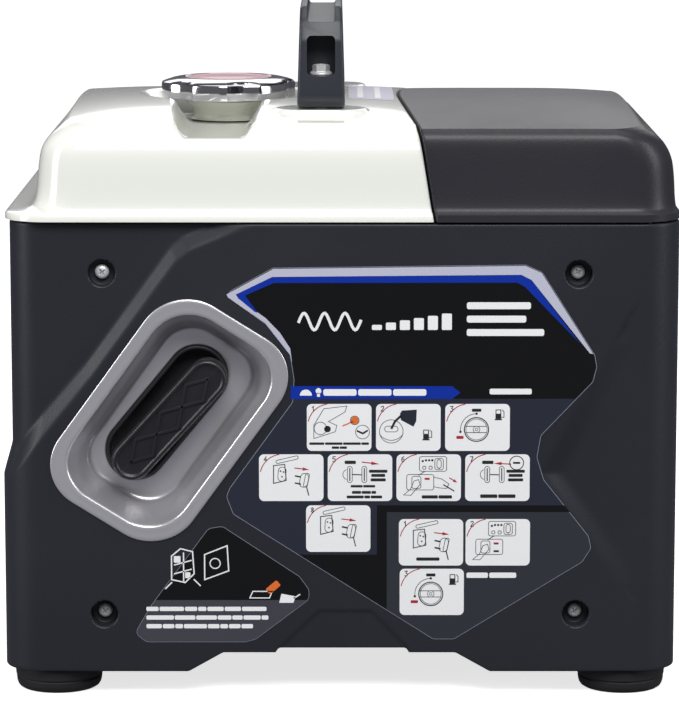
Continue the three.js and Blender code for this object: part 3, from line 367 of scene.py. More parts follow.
def fused(name: str, parts: Sequence[Piece]) -> Piece:
    """Joins mesh objects with one finish into one piece, modifiers applied.

    Args:
        name: the piece's name.
        parts: objects that are used up.

    Returns:
        The joined piece.
    """
    body = bmesh.new()
    graph = bpy.context.evaluated_depsgraph_get()
    for part in parts:
        mesh = part.evaluated_get(graph).to_mesh()
        body.from_mesh(mesh)
        part.evaluated_get(graph).to_mesh_clear()
    mesh = bpy.data.meshes.new(name)
    body.to_mesh(mesh)
    body.free()
    for part in parts:
        bpy.data.objects.remove(part, do_unlink=True)
    obj = bpy.data.objects.new(name, mesh)
    bpy.context.collection.objects.link(obj)
    return obj


def bevel(obj: Piece, width: float, segments: int = 3, angle: float = 30.0) -> None:
    """Rounds the edges that turn by more than the angle.

    Args:
        obj: the piece.
        width: rounding in millimetres.
        segments: steps of the rounding.
        angle: least turn in degrees.
    """
    mod = obj.modifiers.new("rounding", "BEVEL")
    mod.width = width * MM
    mod.segments = segments
    mod.limit_method = "ANGLE"
    mod.angle_limit = math.radians(angle)
    mod.harden_normals = False
    mod.miter_outer = "MITER_ARC"


def carve(obj: Piece, cutters: Sequence[Piece]) -> None:
    """Cuts bodies out of a closed piece and removes them.

    Args:
        obj: the piece.
        cutters: closed bodies that are used up.
    """
    for cutter in cutters:
        mod = obj.modifiers.new("cut", "BOOLEAN")
        mod.operation = "DIFFERENCE"
        mod.solver = "EXACT"
        mod.object = cutter
        apply_modifiers(obj)
        bpy.data.objects.remove(cutter, do_unlink=True)


def apply_modifiers(obj: Piece) -> None:
    """Replaces the mesh by its evaluated form."""
    graph = bpy.context.evaluated_depsgraph_get()
    mesh = bpy.data.meshes.new_from_object(obj.evaluated_get(graph))
    obj.modifiers.clear()
    obj.data = mesh


def refined(node: str, width: float = 0.6, segments: int = 2, sharp: float = 32.0) -> Piece:
    """A copy of a CAD node's surface with its facets merged and its edges rounded.

    Args:
        node: the CAD node's name.
        width: rounding in millimetres.
        segments: steps of the rounding.
        sharp: angle over which an edge is rounded.

    Returns:
        The finer piece.
    """
    mesh = NODES[node].data.copy()
    mesh.materials.clear()
    body = bmesh.new()
    body.from_mesh(mesh)
    bmesh.ops.remove_doubles(body, verts=body.verts, dist=2e-6)
    bmesh.ops.dissolve_limit(body, angle_limit=math.radians(1), verts=body.verts, edges=body.edges)
    body.to_mesh(mesh)
    body.free()
    obj = bpy.data.objects.new(f"{node}_fine", mesh)
    bpy.context.collection.objects.link(obj)
    obj.matrix_world = NODES[node].matrix_world.copy()
    shade(obj, sharp)
    bevel(obj, width, segments, sharp)
    return obj


def settle(obj: Piece, finish: "Finish", body: str, *nodes: str) -> Piece:
    """Dresses a piece, lets it ride on a body and hides the CAD nodes that it replaces.

    Args:
        obj: the piece.
        finish: its material.
        body: the CAD body that it rides on.
        nodes: the CAD nodes that it replaces.

    Returns:
        The same piece.
    """
    obj.data.materials.clear()
    obj.data.materials.append(finish.material())
    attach(obj, body)
    if nodes:
        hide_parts(*nodes)
    LOG.info("%s rides on %s in %s", obj.name, body, finish.name)
    return obj


# ---- shader groups
class GroupMaker:
    """Builds a shader node group with named inputs and outputs."""

    def __init__(self, name: str) -> None:
        """Starts an empty group."""
        self.tree = bpy.data.node_groups.new(name, "ShaderNodeTree")
        self.source = self.tree.nodes.new("NodeGroupInput")
        self.sink = self.tree.nodes.new("NodeGroupOutput")

    def value_in(self, name: str, default: float) -> Socket:
        """Adds a number input and returns its socket inside the group."""
        item = self.tree.interface.new_socket(name, in_out="INPUT", socket_type="NodeSocketFloat")
        item.default_value = default
        return self.source.outputs[name]

    def out(self, name: str, socket: Socket, kind: str = "NodeSocketFloat") -> None:
        """Adds an output fed by a socket."""
        self.tree.interface.new_socket(name, in_out="OUTPUT", socket_type=kind)
        self.tree.links.new(socket, self.sink.inputs[name])

    def node(self, kind: str, **settings: object) -> bpy.types.Node:
        """Adds a node with settings."""
        node = self.tree.nodes.new(kind)
        for key, value in settings.items():
            setattr(node, key, value)
        return node

    def link(self, source: Socket, target: Socket) -> None:
        """Joins two sockets."""
        self.tree.links.new(source, target)

    def math(self, operation: str, a: object, b: object = 0.0) -> Socket:
        """A math node on sockets or numbers."""
        node = self.node("ShaderNodeMath", operation=operation)
        for socket, value in zip(node.inputs, (a, b)):
            if isinstance(value, Socket):
                self.link(value, socket)
            else:
                socket.default_value = value
        return node.outputs[0]

    def noise(self, scale: object, detail: float = 3.0, stretch: Color | None = None,
              roughness: float = 0.55) -> Socket:
        """Object-space noise, stretched along axes if asked.

        Args:
            scale: a number or a socket.
            detail: octaves.
            stretch: scale along each axis.
            roughness: weight of the octaves.

        Returns:
            The noise value.
        """
        coords = self.node("ShaderNodeTexCoord").outputs["Object"]
        if stretch:
            mapping = self.node("ShaderNodeMapping")
            mapping.inputs["Scale"].default_value = stretch
            self.link(coords, mapping.inputs["Vector"])
            coords = mapping.outputs["Vector"]
        noise = self.node("ShaderNodeTexNoise")
        noise.inputs["Detail"].default_value = detail
        noise.inputs["Roughness"].default_value = roughness
        self.link(coords, noise.inputs["Vector"])
        if isinstance(scale, Socket):
            self.link(scale, noise.inputs["Scale"])
        else:
            noise.inputs["Scale"].default_value = scale
        return noise.outputs["Fac"]


def moulding_grain_group() -> Tree:
    """Fine spark-eroded texture of moulded plastic: a height and a speckle mask."""
    make = GroupMaker("moulding grain")
    scale = make.value_in("Scale", 900.0)
    depth = make.value_in("Depth", 1.0)
    fine = make.noise(scale, 2.0)
    cells = make.node("ShaderNodeTexVoronoi", feature="SMOOTH_F1")
    make.link(make.node("ShaderNodeTexCoord").outputs["Object"], cells.inputs["Vector"])
    make.link(scale, cells.inputs["Scale"])
    height = make.math("ADD", fine, make.math("MULTIPLY", cells.outputs["Distance"], 0.6))
    make.out("Height", make.math("MULTIPLY", height, depth))
    make.out("Speckle", fine)
    return make.tree


def handling_group() -> Tree:
    """Cloudy smudges and settled dust, as masks from 0 to 1."""
    make = GroupMaker("handling marks")
    amount = make.value_in("Amount", 0.5)
    cloud = make.noise(7.0, 4.0)
    ramp = make.node("ShaderNodeMapRange")
    ramp.inputs["From Min"].default_value = 0.4
    ramp.inputs["From Max"].default_value = 0.72
    make.link(cloud, ramp.inputs["Value"])
    make.out("Smudge", make.math("MULTIPLY", ramp.outputs["Result"], amount))
    geometry = make.node("ShaderNodeNewGeometry")
    split = make.node("ShaderNodeSeparateXYZ")
    make.link(geometry.outputs["Normal"], split.inputs[0])
    upward = make.math("MAXIMUM", split.outputs["Z"], 0.0)
    dust = make.math("MULTIPLY", make.math("MULTIPLY", upward, make.noise(120.0, 2.0)), amount)
    make.out("Dust", dust)
    return make.tree


def edge_wear_group() -> Tree:
    """Brightened mask on convex edges, broken up by noise."""
    make = GroupMaker("edge wear")
    reach = make.value_in("Reach", 0.5)
    geometry = make.node("ShaderNodeNewGeometry")
    ramp = make.node("ShaderNodeMapRange")
    ramp.inputs["From Min"].default_value = 0.53
    ramp.inputs["From Max"].default_value = 0.66
    make.link(geometry.outputs["Pointiness"], ramp.inputs["Value"])
    broken = make.math("MULTIPLY", ramp.outputs["Result"], make.noise(60.0, 3.0))
    make.out("Wear", make.math("MULTIPLY", broken, reach))
    return make.tree


def brushing_group() -> Tree:
    """Long fine polishing lines along one axis: a height and a mask."""
    make = GroupMaker("brushing")
    depth = make.value_in("Depth", 1.0)
    lines = make.noise(40.0, 5.0, (1.0, 1.0, 26.0), 0.7)
    cross = make.noise(14.0, 3.0)
    make.out("Height", make.math("MULTIPLY", lines, depth))
    make.out("Lines", make.math("ADD", make.math("MULTIPLY", lines, 0.7), make.math("MULTIPLY", cross, 0.3)))
    return make.tree


class GroupKind(Enum):
    """The shared shader groups, built once each."""

    GRAIN = "grain"
    HANDLING = "handling"
    WEAR = "wear"
    BRUSHING = "brushing"


GROUP_BUILDERS: dict[GroupKind, Callable[[], Tree]] = {
    GroupKind.GRAIN: moulding_grain_group,
    GroupKind.HANDLING: handling_group,
    GroupKind.WEAR: edge_wear_group,
    GroupKind.BRUSHING: brushing_group,
}
GROUPS: dict[GroupKind, Tree] = {}


# ---- finishes
@dataclass(frozen=True)
class Finish:
    """A surface finish: colours are linear, lengths in millimetres."""

    name: str
    slot: str
    color: Color
    roughness: float
    metallic: float = 0.0
    tone: Color | None = None
    tone_amount: float = 0.25
    grain: float = 0.0
    grain_scale: float = 900.0
    brushing: float = 0.0
    wear: float = 0.0
    handling: float = 0.4
    coat: float = 0.0
    specular: float = 0.5
    made: ClassVar[dict[str, bpy.types.Material]] = {}

    def material(self) -> bpy.types.Material:
        """The finish's material, built on first use."""
        if self.name not in self.made:
            self.made[self.name] = self.build()
        return self.made[self.name]

    def group(self, tree: Tree, kind: GroupKind, **values: float) -> bpy.types.Node:
        """Places a shared group in a material with its own values."""
        if kind not in GROUPS:
            GROUPS[kind] = GROUP_BUILDERS[kind]()
        node = tree.nodes.new("ShaderNodeGroup")
        node.node_tree = GROUPS[kind]
        for key, value in values.items():
            node.inputs[key].default_value = value
        return node

    def build(self) -> bpy.types.Material:
        """Builds the node tree: colour, roughness and bump from the shared groups."""
        mat = bpy.data.materials.new(self.name)
        mat.use_nodes = True
        tree = mat.node_tree
        shader = tree.nodes["Principled BSDF"]
        for key, value in (("Metallic", self.metallic), ("Specular IOR Level", self.specular),
                           ("Coat Weight", self.coat), ("Coat Roughness", 0.06)):
            shader.inputs[key].default_value = value
        marks = self.group(tree, GroupKind.HANDLING, Amount=self.handling)
        worn = self.group(tree, GroupKind.WEAR, Reach=self.wear)
        grain = self.group(tree, GroupKind.GRAIN, Scale=self.grain_scale, Depth=1.0)
        tone = self.tone or tuple(min(1.0, c * 1.5 + 0.01) for c in self.color)
        shade_mix = self.mix(tree, self.color, tone, marks.outputs["Smudge"], self.tone_amount)
        bright = tuple(min(1.0, c * 2.2 + 0.03) for c in self.color)
        dusty = self.mix(tree, shade_mix, (0.55, 0.54, 0.52), marks.outputs["Dust"], 0.06)
        color = self.mix(tree, dusty, bright, worn.outputs["Wear"], 0.6)
        tree.links.new(color, shader.inputs["Base Color"])
        rough = tree.nodes.new("ShaderNodeMapRange")
        rough.inputs["To Min"].default_value = self.roughness
        rough.inputs["To Max"].default_value = min(1.0, self.roughness * 1.35 + 0.02)
        source = marks.outputs["Smudge"]
        height = grain.outputs["Height"]
        strength, distance = self.grain, 0.0002
        if self.brushing:
            lines = self.group(tree, GroupKind.BRUSHING, Depth=1.0)
            source = lines.outputs["Lines"]
            height = lines.outputs["Height"]
            strength, distance = self.brushing, 0.0001
        tree.links.new(source, rough.inputs["Value"])
        tree.links.new(rough.outputs["Result"], shader.inputs["Roughness"])
        bump = tree.nodes.new("ShaderNodeBump")
        bump.inputs["Strength"].default_value = max(strength, 0.02)
        bump.inputs["Distance"].default_value = distance
        tree.links.new(height, bump.inputs["Height"])
        tree.links.new(bump.outputs["Normal"], shader.inputs["Normal"])
        return mat

    @staticmethod
    def mix(tree: Tree, a: object, b: Color, factor: Socket,
            share: float) -> Socket:
        """Mixes a colour over another by a mask times a share.

        Args:
            tree: the material's nodes.
            a: colour or socket below.
            b: colour on top.
            factor: the mask.
            share: strength of the mask.

        Returns:
            The mixed colour.
        """
        scaled = tree.nodes.new("ShaderNodeMath")
        scaled.operation = "MULTIPLY"
        scaled.inputs[1].default_value = share
        scaled.use_clamp = True
        tree.links.new(factor, scaled.inputs[0])
        node = tree.nodes.new("ShaderNodeMix")
        node.data_type = "RGBA"
        first, second = node.inputs[6], node.inputs[7]
        if isinstance(a, Socket):
            tree.links.new(a, first)
        else:
            first.default_value = (*a, 1.0)
        second.default_value = (*b, 1.0)
        tree.links.new(scaled.outputs[0], node.inputs[0])
        return node.outputs[2]


CASE = Finish("case black plastic", "case_black",
              (0.016, 0.017, 0.024), 0.42, grain=0.35, wear=0.25, specular=0.35)
HOOD = Finish("hood black plastic", "hood_black",
              (0.020, 0.020, 0.026), 0.38, grain=0.3, wear=0.3, specular=0.35)
HANDLE = Finish("handle black plastic", "handle_black",
                (0.024, 0.026, 0.035), 0.36, grain=0.2, wear=0.4, specular=0.4)
FITTING = Finish("fitting black plastic", "fitting_black", (0.018, 0.018, 0.021), 0.38, grain=0.2, wear=0.25)
GREY = Finish("fitting grey plastic", "fitting_grey", (0.060, 0.063, 0.072), 0.45, grain=0.3, wear=0.2)
GRIP = Finish("grip black plastic", "grip_black", (0.010, 0.010, 0.014), 0.33, grain=0.25, wear=0.3)
TANK = Finish("tank cream plastic", "tank_cream", (0.82, 0.83, 0.775), 0.16, tone=(0.80, 0.81, 0.76),
              grain=0.04, grain_scale=160.0, handling=0.25, coat=0.6)
NECK = Finish("neck cream plastic", "neck_cream", (0.62, 0.63, 0.54), 0.3, tone=(0.52, 0.53, 0.45),
              grain=0.05, handling=0.3, coat=0.3)
CHROME = Finish("bright chrome", "cap_chrome", (0.55, 0.54, 0.58), 0.10, 1.0, tone=(0.5, 0.49, 0.54),
                grain=0.02, grain_scale=300.0, handling=0.3)
DISH = Finish("pressed stainless", "dish_stainless", (0.66, 0.65, 0.68), 0.24, 0.72, tone=(0.58, 0.57, 0.60),
              brushing=0.12, handling=0.3)
STEEL = Finish("zinc plated steel", "screw_zinc", (0.78, 0.78, 0.80), 0.34, 0.4, tone=(0.62, 0.62, 0.64),
               grain=0.08, grain_scale=500.0)
FRAME = Finish("black coated steel", "frame_steel", (0.035, 0.036, 0.040), 0.4, 0.2, grain=0.25,
               grain_scale=500.0, wear=0.5)
CAST = Finish("cast alloy", "cast_alloy", (0.36, 0.37, 0.38), 0.5, 0.85, tone=(0.28, 0.29, 0.3), grain=0.5,
              grain_scale=420.0, wear=0.3)
COPPER = Finish("varnished copper", "winding_copper", (0.50, 0.19, 0.07), 0.3, 0.9,
                tone=(0.33, 0.11, 0.04), brushing=0.4)
TAIL = replace(DISH, slot="tail_stainless")
RUBBER = Finish("black rubber", "rubber_black",
                (0.009, 0.009, 0.011), 0.62, grain=0.3, grain_scale=500.0, wear=0.3)
ROPE = Finish("braided rope", "rope_pale", (0.58, 0.55, 0.48), 0.8, tone=(0.3, 0.28, 0.24), grain=1.0,
              grain_scale=700.0, handling=0.8)
RED = Finish("signal red plastic", "signal_red", (0.45, 0.02, 0.02), 0.3, grain=0.1, coat=0.3)


def ink(name: str, color: Color, roughness: float = 0.28) -> Finish:
    """A printed film colour with the film's slight orange peel."""
    tone = tuple(c * 0.8 for c in color)
    return Finish(f"ink {name}", "label_print", color, roughness, tone=tone, tone_amount=0.3,
                  grain=0.05, grain_scale=220.0, handling=0.25, coat=0.1, specular=0.35)


INK_BLACK = ink("black", (0.002, 0.0022, 0.003))
INK_GREY = ink("slate", (0.019, 0.023, 0.038))
INK_BLUE = ink("blue", (0.001, 0.026, 0.33))
INK_SILVER = ink("silver", (0.50, 0.51, 0.62))
INK_WHITE = ink("white", (0.86, 0.87, 0.88))
INK_LINE = ink("line", (0.02, 0.02, 0.022))
INK_RED = ink("red", (0.42, 0.02, 0.03))
INK_ORANGE = ink("orange", (0.75, 0.16, 0.03))
INK_BORDER = ink("border", (0.20, 0.22, 0.27))
INK_LILAC = ink("lilac", (0.50, 0.48, 0.58), 0.35)
INK_ROSE = ink("rose", (0.62, 0.36, 0.40))
INK_SHUT = Finish("ink shut down", "label_print", (0.021, 0.024, 0.034), 0.28, coat=0.35)
INK_OIL = Finish("ink oil grey", "label_print", (0.045, 0.047, 0.062), 0.3, coat=0.35)


# ---- the case
@dataclass
class CaseCover:
    """A moulded side cover: diagonal step, counterbores, arched bottom; side is -1 in front, 1 behind."""

    side: int
    half_x: float = 225.0
    half_y: float = 160.0
    corner: float = 28.0
    reach: float = 62.0
    bottom: float = 17.0
    top: float = 318.0
    step_depth: float = 6.0
    spacing: float = 1.5
    edge: float = 1.3
    wall: float = 3.0
    bore: float = 9.0
    bore_lip: float = 0.9
    edge_grid: float = 1.3
    screw_x: float = 157.0
    screw_heights: Point = (56.5, 285.0)
    end_step: Point = (148.0, 169.0)
    step_fillet: float = 0.05
    step_hardness: float = 38.0
    warp_top: float = 70.0
    raised: tuple[Point, ...] = ((-58, 332), (-58, 318), (-98.7, 301), (-107.3, 294.4), (-163.6, 217),
                                 (-219.2, 148), (-260, 97))
    low: tuple[Point, ...] = ((-83, 332), (-83, 318), (-103.3, 309), (-111.9, 301.7), (-167.5, 225.5),
                              (-216.6, 169), (-260, 119))
    arch: tuple[Point, ...] = ((-101, 17), (-78, 30), (-43, 30), (-41, 33), (44, 33), (46, 30), (77, 30),
                               (100, 17))
    apex: Point = (133.0, 152.0)
    apex_up: Point = (180.0, 238.0)
    apex_down: Point = (188.0, 76.0)
    hollow_up_run: float = 11.4
    hollow_down_run: float = 10.2
    hollow_fillet: float = 0.12
    hollow_hardness: float = 9.0
    hollow_depths: tuple[Point, ...] = ((146, 5.0), (181, 1.5), (198, 0.0))
    panel_depth: float = 0.9
    panel_round: float = 3.0

    def bores(self) -> list[Point]:
        """Centres of the four counterbores in x and z."""
        return [(sx * self.screw_x, z) for sx in (-1, 1) for z in self.screw_heights]

    def relief(self, x: Array, z: Array) -> Array:
        """How far the surface lies behind the case's plain face.

        Args:
            x: place along the case.
            z: height.

        Returns:
            Depth at each point.
        """
        upper = side_of_line(x, z, self.raised)
        lower = side_of_line(x, z, self.low)
        diagonal = upper / np.maximum(upper - lower, 1e-3)
        level = (z - self.end_step[0]) / (self.end_step[1] - self.end_step[0])
        depth = self.step_depth * soft_ramp(smooth_min(diagonal, level, self.step_fillet), self.step_hardness)
        if self.side < 0:
            depth = depth + self.hollow(x, z)
        return depth + self.panel(x, z)

    def hollow(self, x: Array, z: Array) -> Array:
        """The triangular hollow at the right of the front cover."""
        up = side_of_line(x, z, (self.apex, self.apex_up)) / self.hollow_up_run
        down = -side_of_line(x, z, (self.apex, self.apex_down)) / self.hollow_down_run
        floor = np.interp(x, *zip(*self.hollow_depths))
        return floor * soft_ramp(smooth_min(up, down, self.hollow_fillet), self.hollow_hardness)

    def panel(self, x: Array, z: Array) -> Array:
        """A faint sunk trapezoid over the bottom arch."""
        slope = np.interp(z, [33, 60], [0.0, 28.0])
        left = x - (-42 + slope)
        right = (47 - slope * 0.93) - x
        inside = np.minimum(np.minimum(left, right), 60 - z)
        return self.panel_depth * smoothstep(0, self.panel_round, inside)

    def path(self, u: Array) -> tuple[Array, ...]:
        """Plan position and inward normal along the cover, from the left end round to the right end.

        Args:
            u: distance along the cover.

        Returns:
            x, y and the normal's x and y.
        """
        straight = self.reach - self.corner
        arc = self.corner * math.pi / 2
        flat = 2 * (self.half_x - self.corner)
        cx, cy = self.half_x - self.corner, self.half_y - self.corner
        mid = u - straight - arc - flat / 2
        beyond = np.clip((np.abs(mid) - flat / 2) / self.corner, 0, math.pi / 2)
        rest = np.clip(np.abs(mid) - flat / 2 - arc, 0, None)
        sign = np.sign(mid)
        x = np.where(np.abs(mid) <= flat / 2, mid, sign * (cx + self.corner * np.sin(beyond)))
        y = cy + self.corner * np.cos(beyond) - rest
        nx = -sign * np.sin(beyond)
        ny = -np.cos(beyond)
        return x, self.side * y, nx, self.side * ny

    def lines(self, length: float) -> tuple[Array, Array]:
        """Grid positions with fine steps at both ends and one doubled line for the returned edge."""
        fine = np.array([0.0, 0.12, 0.4, 0.8, self.edge_grid])
        count = int((length - 2 * self.edge_grid) / self.spacing)
        middle = np.linspace(self.edge_grid, length - self.edge_grid, count)[1:-1]
        positions = np.concatenate([[0.0], fine, middle, length - fine[::-1], [length]])
        flange = np.zeros(len(positions))
        flange[[0, -1]] = self.wall
        return positions, flange

    def bottom_at(self, x: Array) -> Array:
        """Height of the cover's lower edge."""
        return np.interp(x, *zip(*self.arch))

    def build(self, hole: Outline | None) -> Piece:
        """Builds the cover, with a hole in it where an outline is given.

        Args:
            hole: (x, z) outline whose inside is left open, or None.

        Returns:
            The cover.
        """
        length = 2 * (self.reach - self.corner) + self.corner * math.pi + 2 * (self.half_x - self.corner)
        us, flange_u = self.lines(length)
        vs, flange_v = self.lines(self.top - self.bottom)
        u, v = np.meshgrid(us, vs)
        x, y, nx, ny = self.path(u)
        z = self.bottom + v
        lift = self.bottom_at(np.where(np.abs(x) < self.half_x - self.corner, x, self.half_x)) - self.bottom
        span = self.warp_top - self.bottom
        z = z + lift * np.clip(1 - v / span, 0, 1)
        for at in self.bores():
            x, z = self.snap(x, z, at, self.bore + self.bore_lip)
        border = np.minimum(np.minimum(u, length - u), np.minimum(v, self.top - self.bottom - v))
        b = np.clip(border, 0, self.edge)
        round_off = self.edge - np.sqrt(np.maximum(self.edge ** 2 - (self.edge - b) ** 2, 0))
        flange = np.maximum(flange_u[None, :], flange_v[:, None])
        depth = self.relief(x, z) + round_off + flange
        points = np.stack([x + nx * depth, y + ny * depth, z], -1)
        keep = self.kept_faces(x, z, hole)
        columns = len(us)
        faces = []
        for row, column in zip(*np.nonzero(keep)):
            a = row * columns + column
            faces.append((a, a + 1, a + columns + 1, a + columns))
        shell = make_object("cover_shell", points.reshape(-1, 3), faces, 50)
        parts = [shell, *(self.cup(*at) for at in self.bores())]
        return fused("side_cover_front" if self.side < 0 else "side_cover_rear", parts)

    @staticmethod
    def snap(x: Array, z: Array, at: Point, r: float) -> tuple[Array, Array]:
        """Moves the grid points nearest to a circle onto it."""
        dx, dz = x - at[0], z - at[1]
        distance = np.maximum(np.hypot(dx, dz), 1e-6)
        near = np.abs(distance - r) < 0.85
        scale = np.where(near, r / distance, 1.0)
        return at[0] + dx * scale, at[1] + dz * scale

    def kept_faces(self, x: Array, z: Array, hole: Outline | None) -> Array:
        """Which grid faces stay: those outside the bores and outside the hole.

        Args:
            x: grid of x.
            z: grid of z.
            hole: outline to leave open.

        Returns:
            A mask over the faces.
        """
        keep = np.ones((x.shape[0] - 1, x.shape[1] - 1), bool)
        for bore_x, bore_z in self.bores():
            inside = np.hypot(x - bore_x, z - bore_z) < self.bore + self.bore_lip + 0.001
            keep &= ~(inside[:-1, :-1] & inside[1:, :-1] & inside[:-1, 1:] & inside[1:, 1:])
        if hole is not None:
            cx = (x[:-1, :-1] + x[1:, 1:]) / 2
            cz = (z[:-1, :-1] + z[1:, 1:]) / 2
            inside = np.zeros(cx.shape, bool)
            for (ax, az), (bx, bz) in zip(hole, [*hole[1:], hole[0]]):
                crosses = (az > cz) != (bz > cz)
                at = ax + (cz - az) * (bx - ax) / np.where(abs(bz - az) < 1e-9, 1e-9, bz - az)
                inside ^= crosses & (cx < at)
            keep &= ~inside
        return keep

    def cup(self, x0: float, z0: float) -> Piece:
        """A counterbore whose mouth follows the face, with its rounded edge and screw hole.

        Args:
            x0: centre in x.
            z0: centre in z.

        Returns:
            The cup.
        """
        angles = np.linspace(0, 2 * math.pi, 65)[:-1]
        rings = []
        for grow, back in ((0.92, -0.02), (0.55, 0.12), (0.22, 0.42), (0.05, 0.85), (0.0, 1.4)):
            x = x0 + (self.bore + grow) * np.cos(angles)
            z = z0 + (self.bore + grow) * np.sin(angles)
            depth = self.relief(x, z) + back
            rings.append(np.stack([x, self.side * (self.half_y - depth), z], -1))
        for r, depth in ((9.0, 13.3), (8.8, 13.8), (8.3, 14.0), (2.9, 14.0), (2.8, 17.0), (0.1, 17.0)):
            x = x0 + r * np.cos(angles)
            z = z0 + r * np.sin(angles)
            rings.append(np.stack([x, np.full_like(x, self.side * (self.half_y - depth)), z], -1))
        return loft("cup", [ring.tolist() for ring in rings], False, True, 50)


@dataclass
class PanelScrew:
    """A zinc plated cross recessed pan head screw at the bottom of a counterbore."""

    head: float = 4.75
    seat: float = -146.3
    height: float = 3.8
    shank: float = 2.5

    def build(self, name: str, x: float, z: float) -> Piece:
        """Turns the head and shank and sinks the tapered cross into it."""
        h = self.height
        body = lathe(name, [(0, 6.0), (self.shank, 6.0), (self.shank, 0.0), (self.head, 0.0),
                            (self.head, -h * 0.42), (self.head * 0.97, -h * 0.58),
                            (self.head * 0.86, -h * 0.78), (self.head * 0.62, -h * 0.94),
                            (self.head * 0.3, -h), (0, -h)], (x, self.seat, z), "Y", 48, 50)
        cutters = []
        for turn in (35, 125):
            wide = placed(rounded_rect(-2.9, 2.9, -0.62, 0.62, 0.3, 4), (x, z), turn)
            deep = placed(rounded_rect(-1.2, 1.2, -0.45, 0.45, 0.2, 4), (x, z), turn)
            cutters.append(loft("cross", [on_y(deep, self.seat - 0.9), on_y(wide, self.seat - h - 0.5)]))
        carve(body, cutters)
        shade(body, 35)
        return body


@dataclass
class RubberFoot:
    """A round black foot with a moulded groove and a chamfered sole."""

    radius: float = 29.0
    height: float = 16.7

    def build(self, name: str, x: float, y: float) -> Piece:
        """Turns the foot."""
        r, h = self.radius, self.height
        profile = [(0, 8.5), (6.5, 8.5), (7.0, 8.0), (7.0, 0.6), (7.6, 0.0), (r - 5.2, 0.0),
                   (r - 3.4, 0.25), (r - 1.9, 1.2), (r - 0.9, 2.8), (r - 0.4, 4.6), (r - 0.1, 7.0),
                   (r - 0.9, 7.4), (r - 1.1, 7.9), (r - 0.7, 8.4), (r + 0.2, 8.8), (r + 0.6, 12.5),
                   (r + 0.9, h - 1.0), (r + 0.5, h - 0.3), (r - 0.4, h), (0, h)]
        return lathe(name, profile, (x, y, 0), "Z", 96, 50)


# ---- tank and hood
def chaikin(rows: Sequence[Sequence[float]], rounds: int = 2) -> list[list[float]]:
    """Rounds a polyline of rows by cutting its corners, its ends kept.

    Args:
        rows: the polyline.
        rounds: how often corners are cut.

    Returns:
        The finer rows.
    """
    points = np.array(rows, float)
    for _ in range(rounds):
        first = points[:-1] * 0.75 + points[1:] * 0.25
        second = points[:-1] * 0.25 + points[1:] * 0.75
        middle = np.stack([first, second], 1).reshape(-1, points.shape[1])
        points = np.vstack([points[:1], middle[1:-1], points[-1:]])
    return points.tolist()


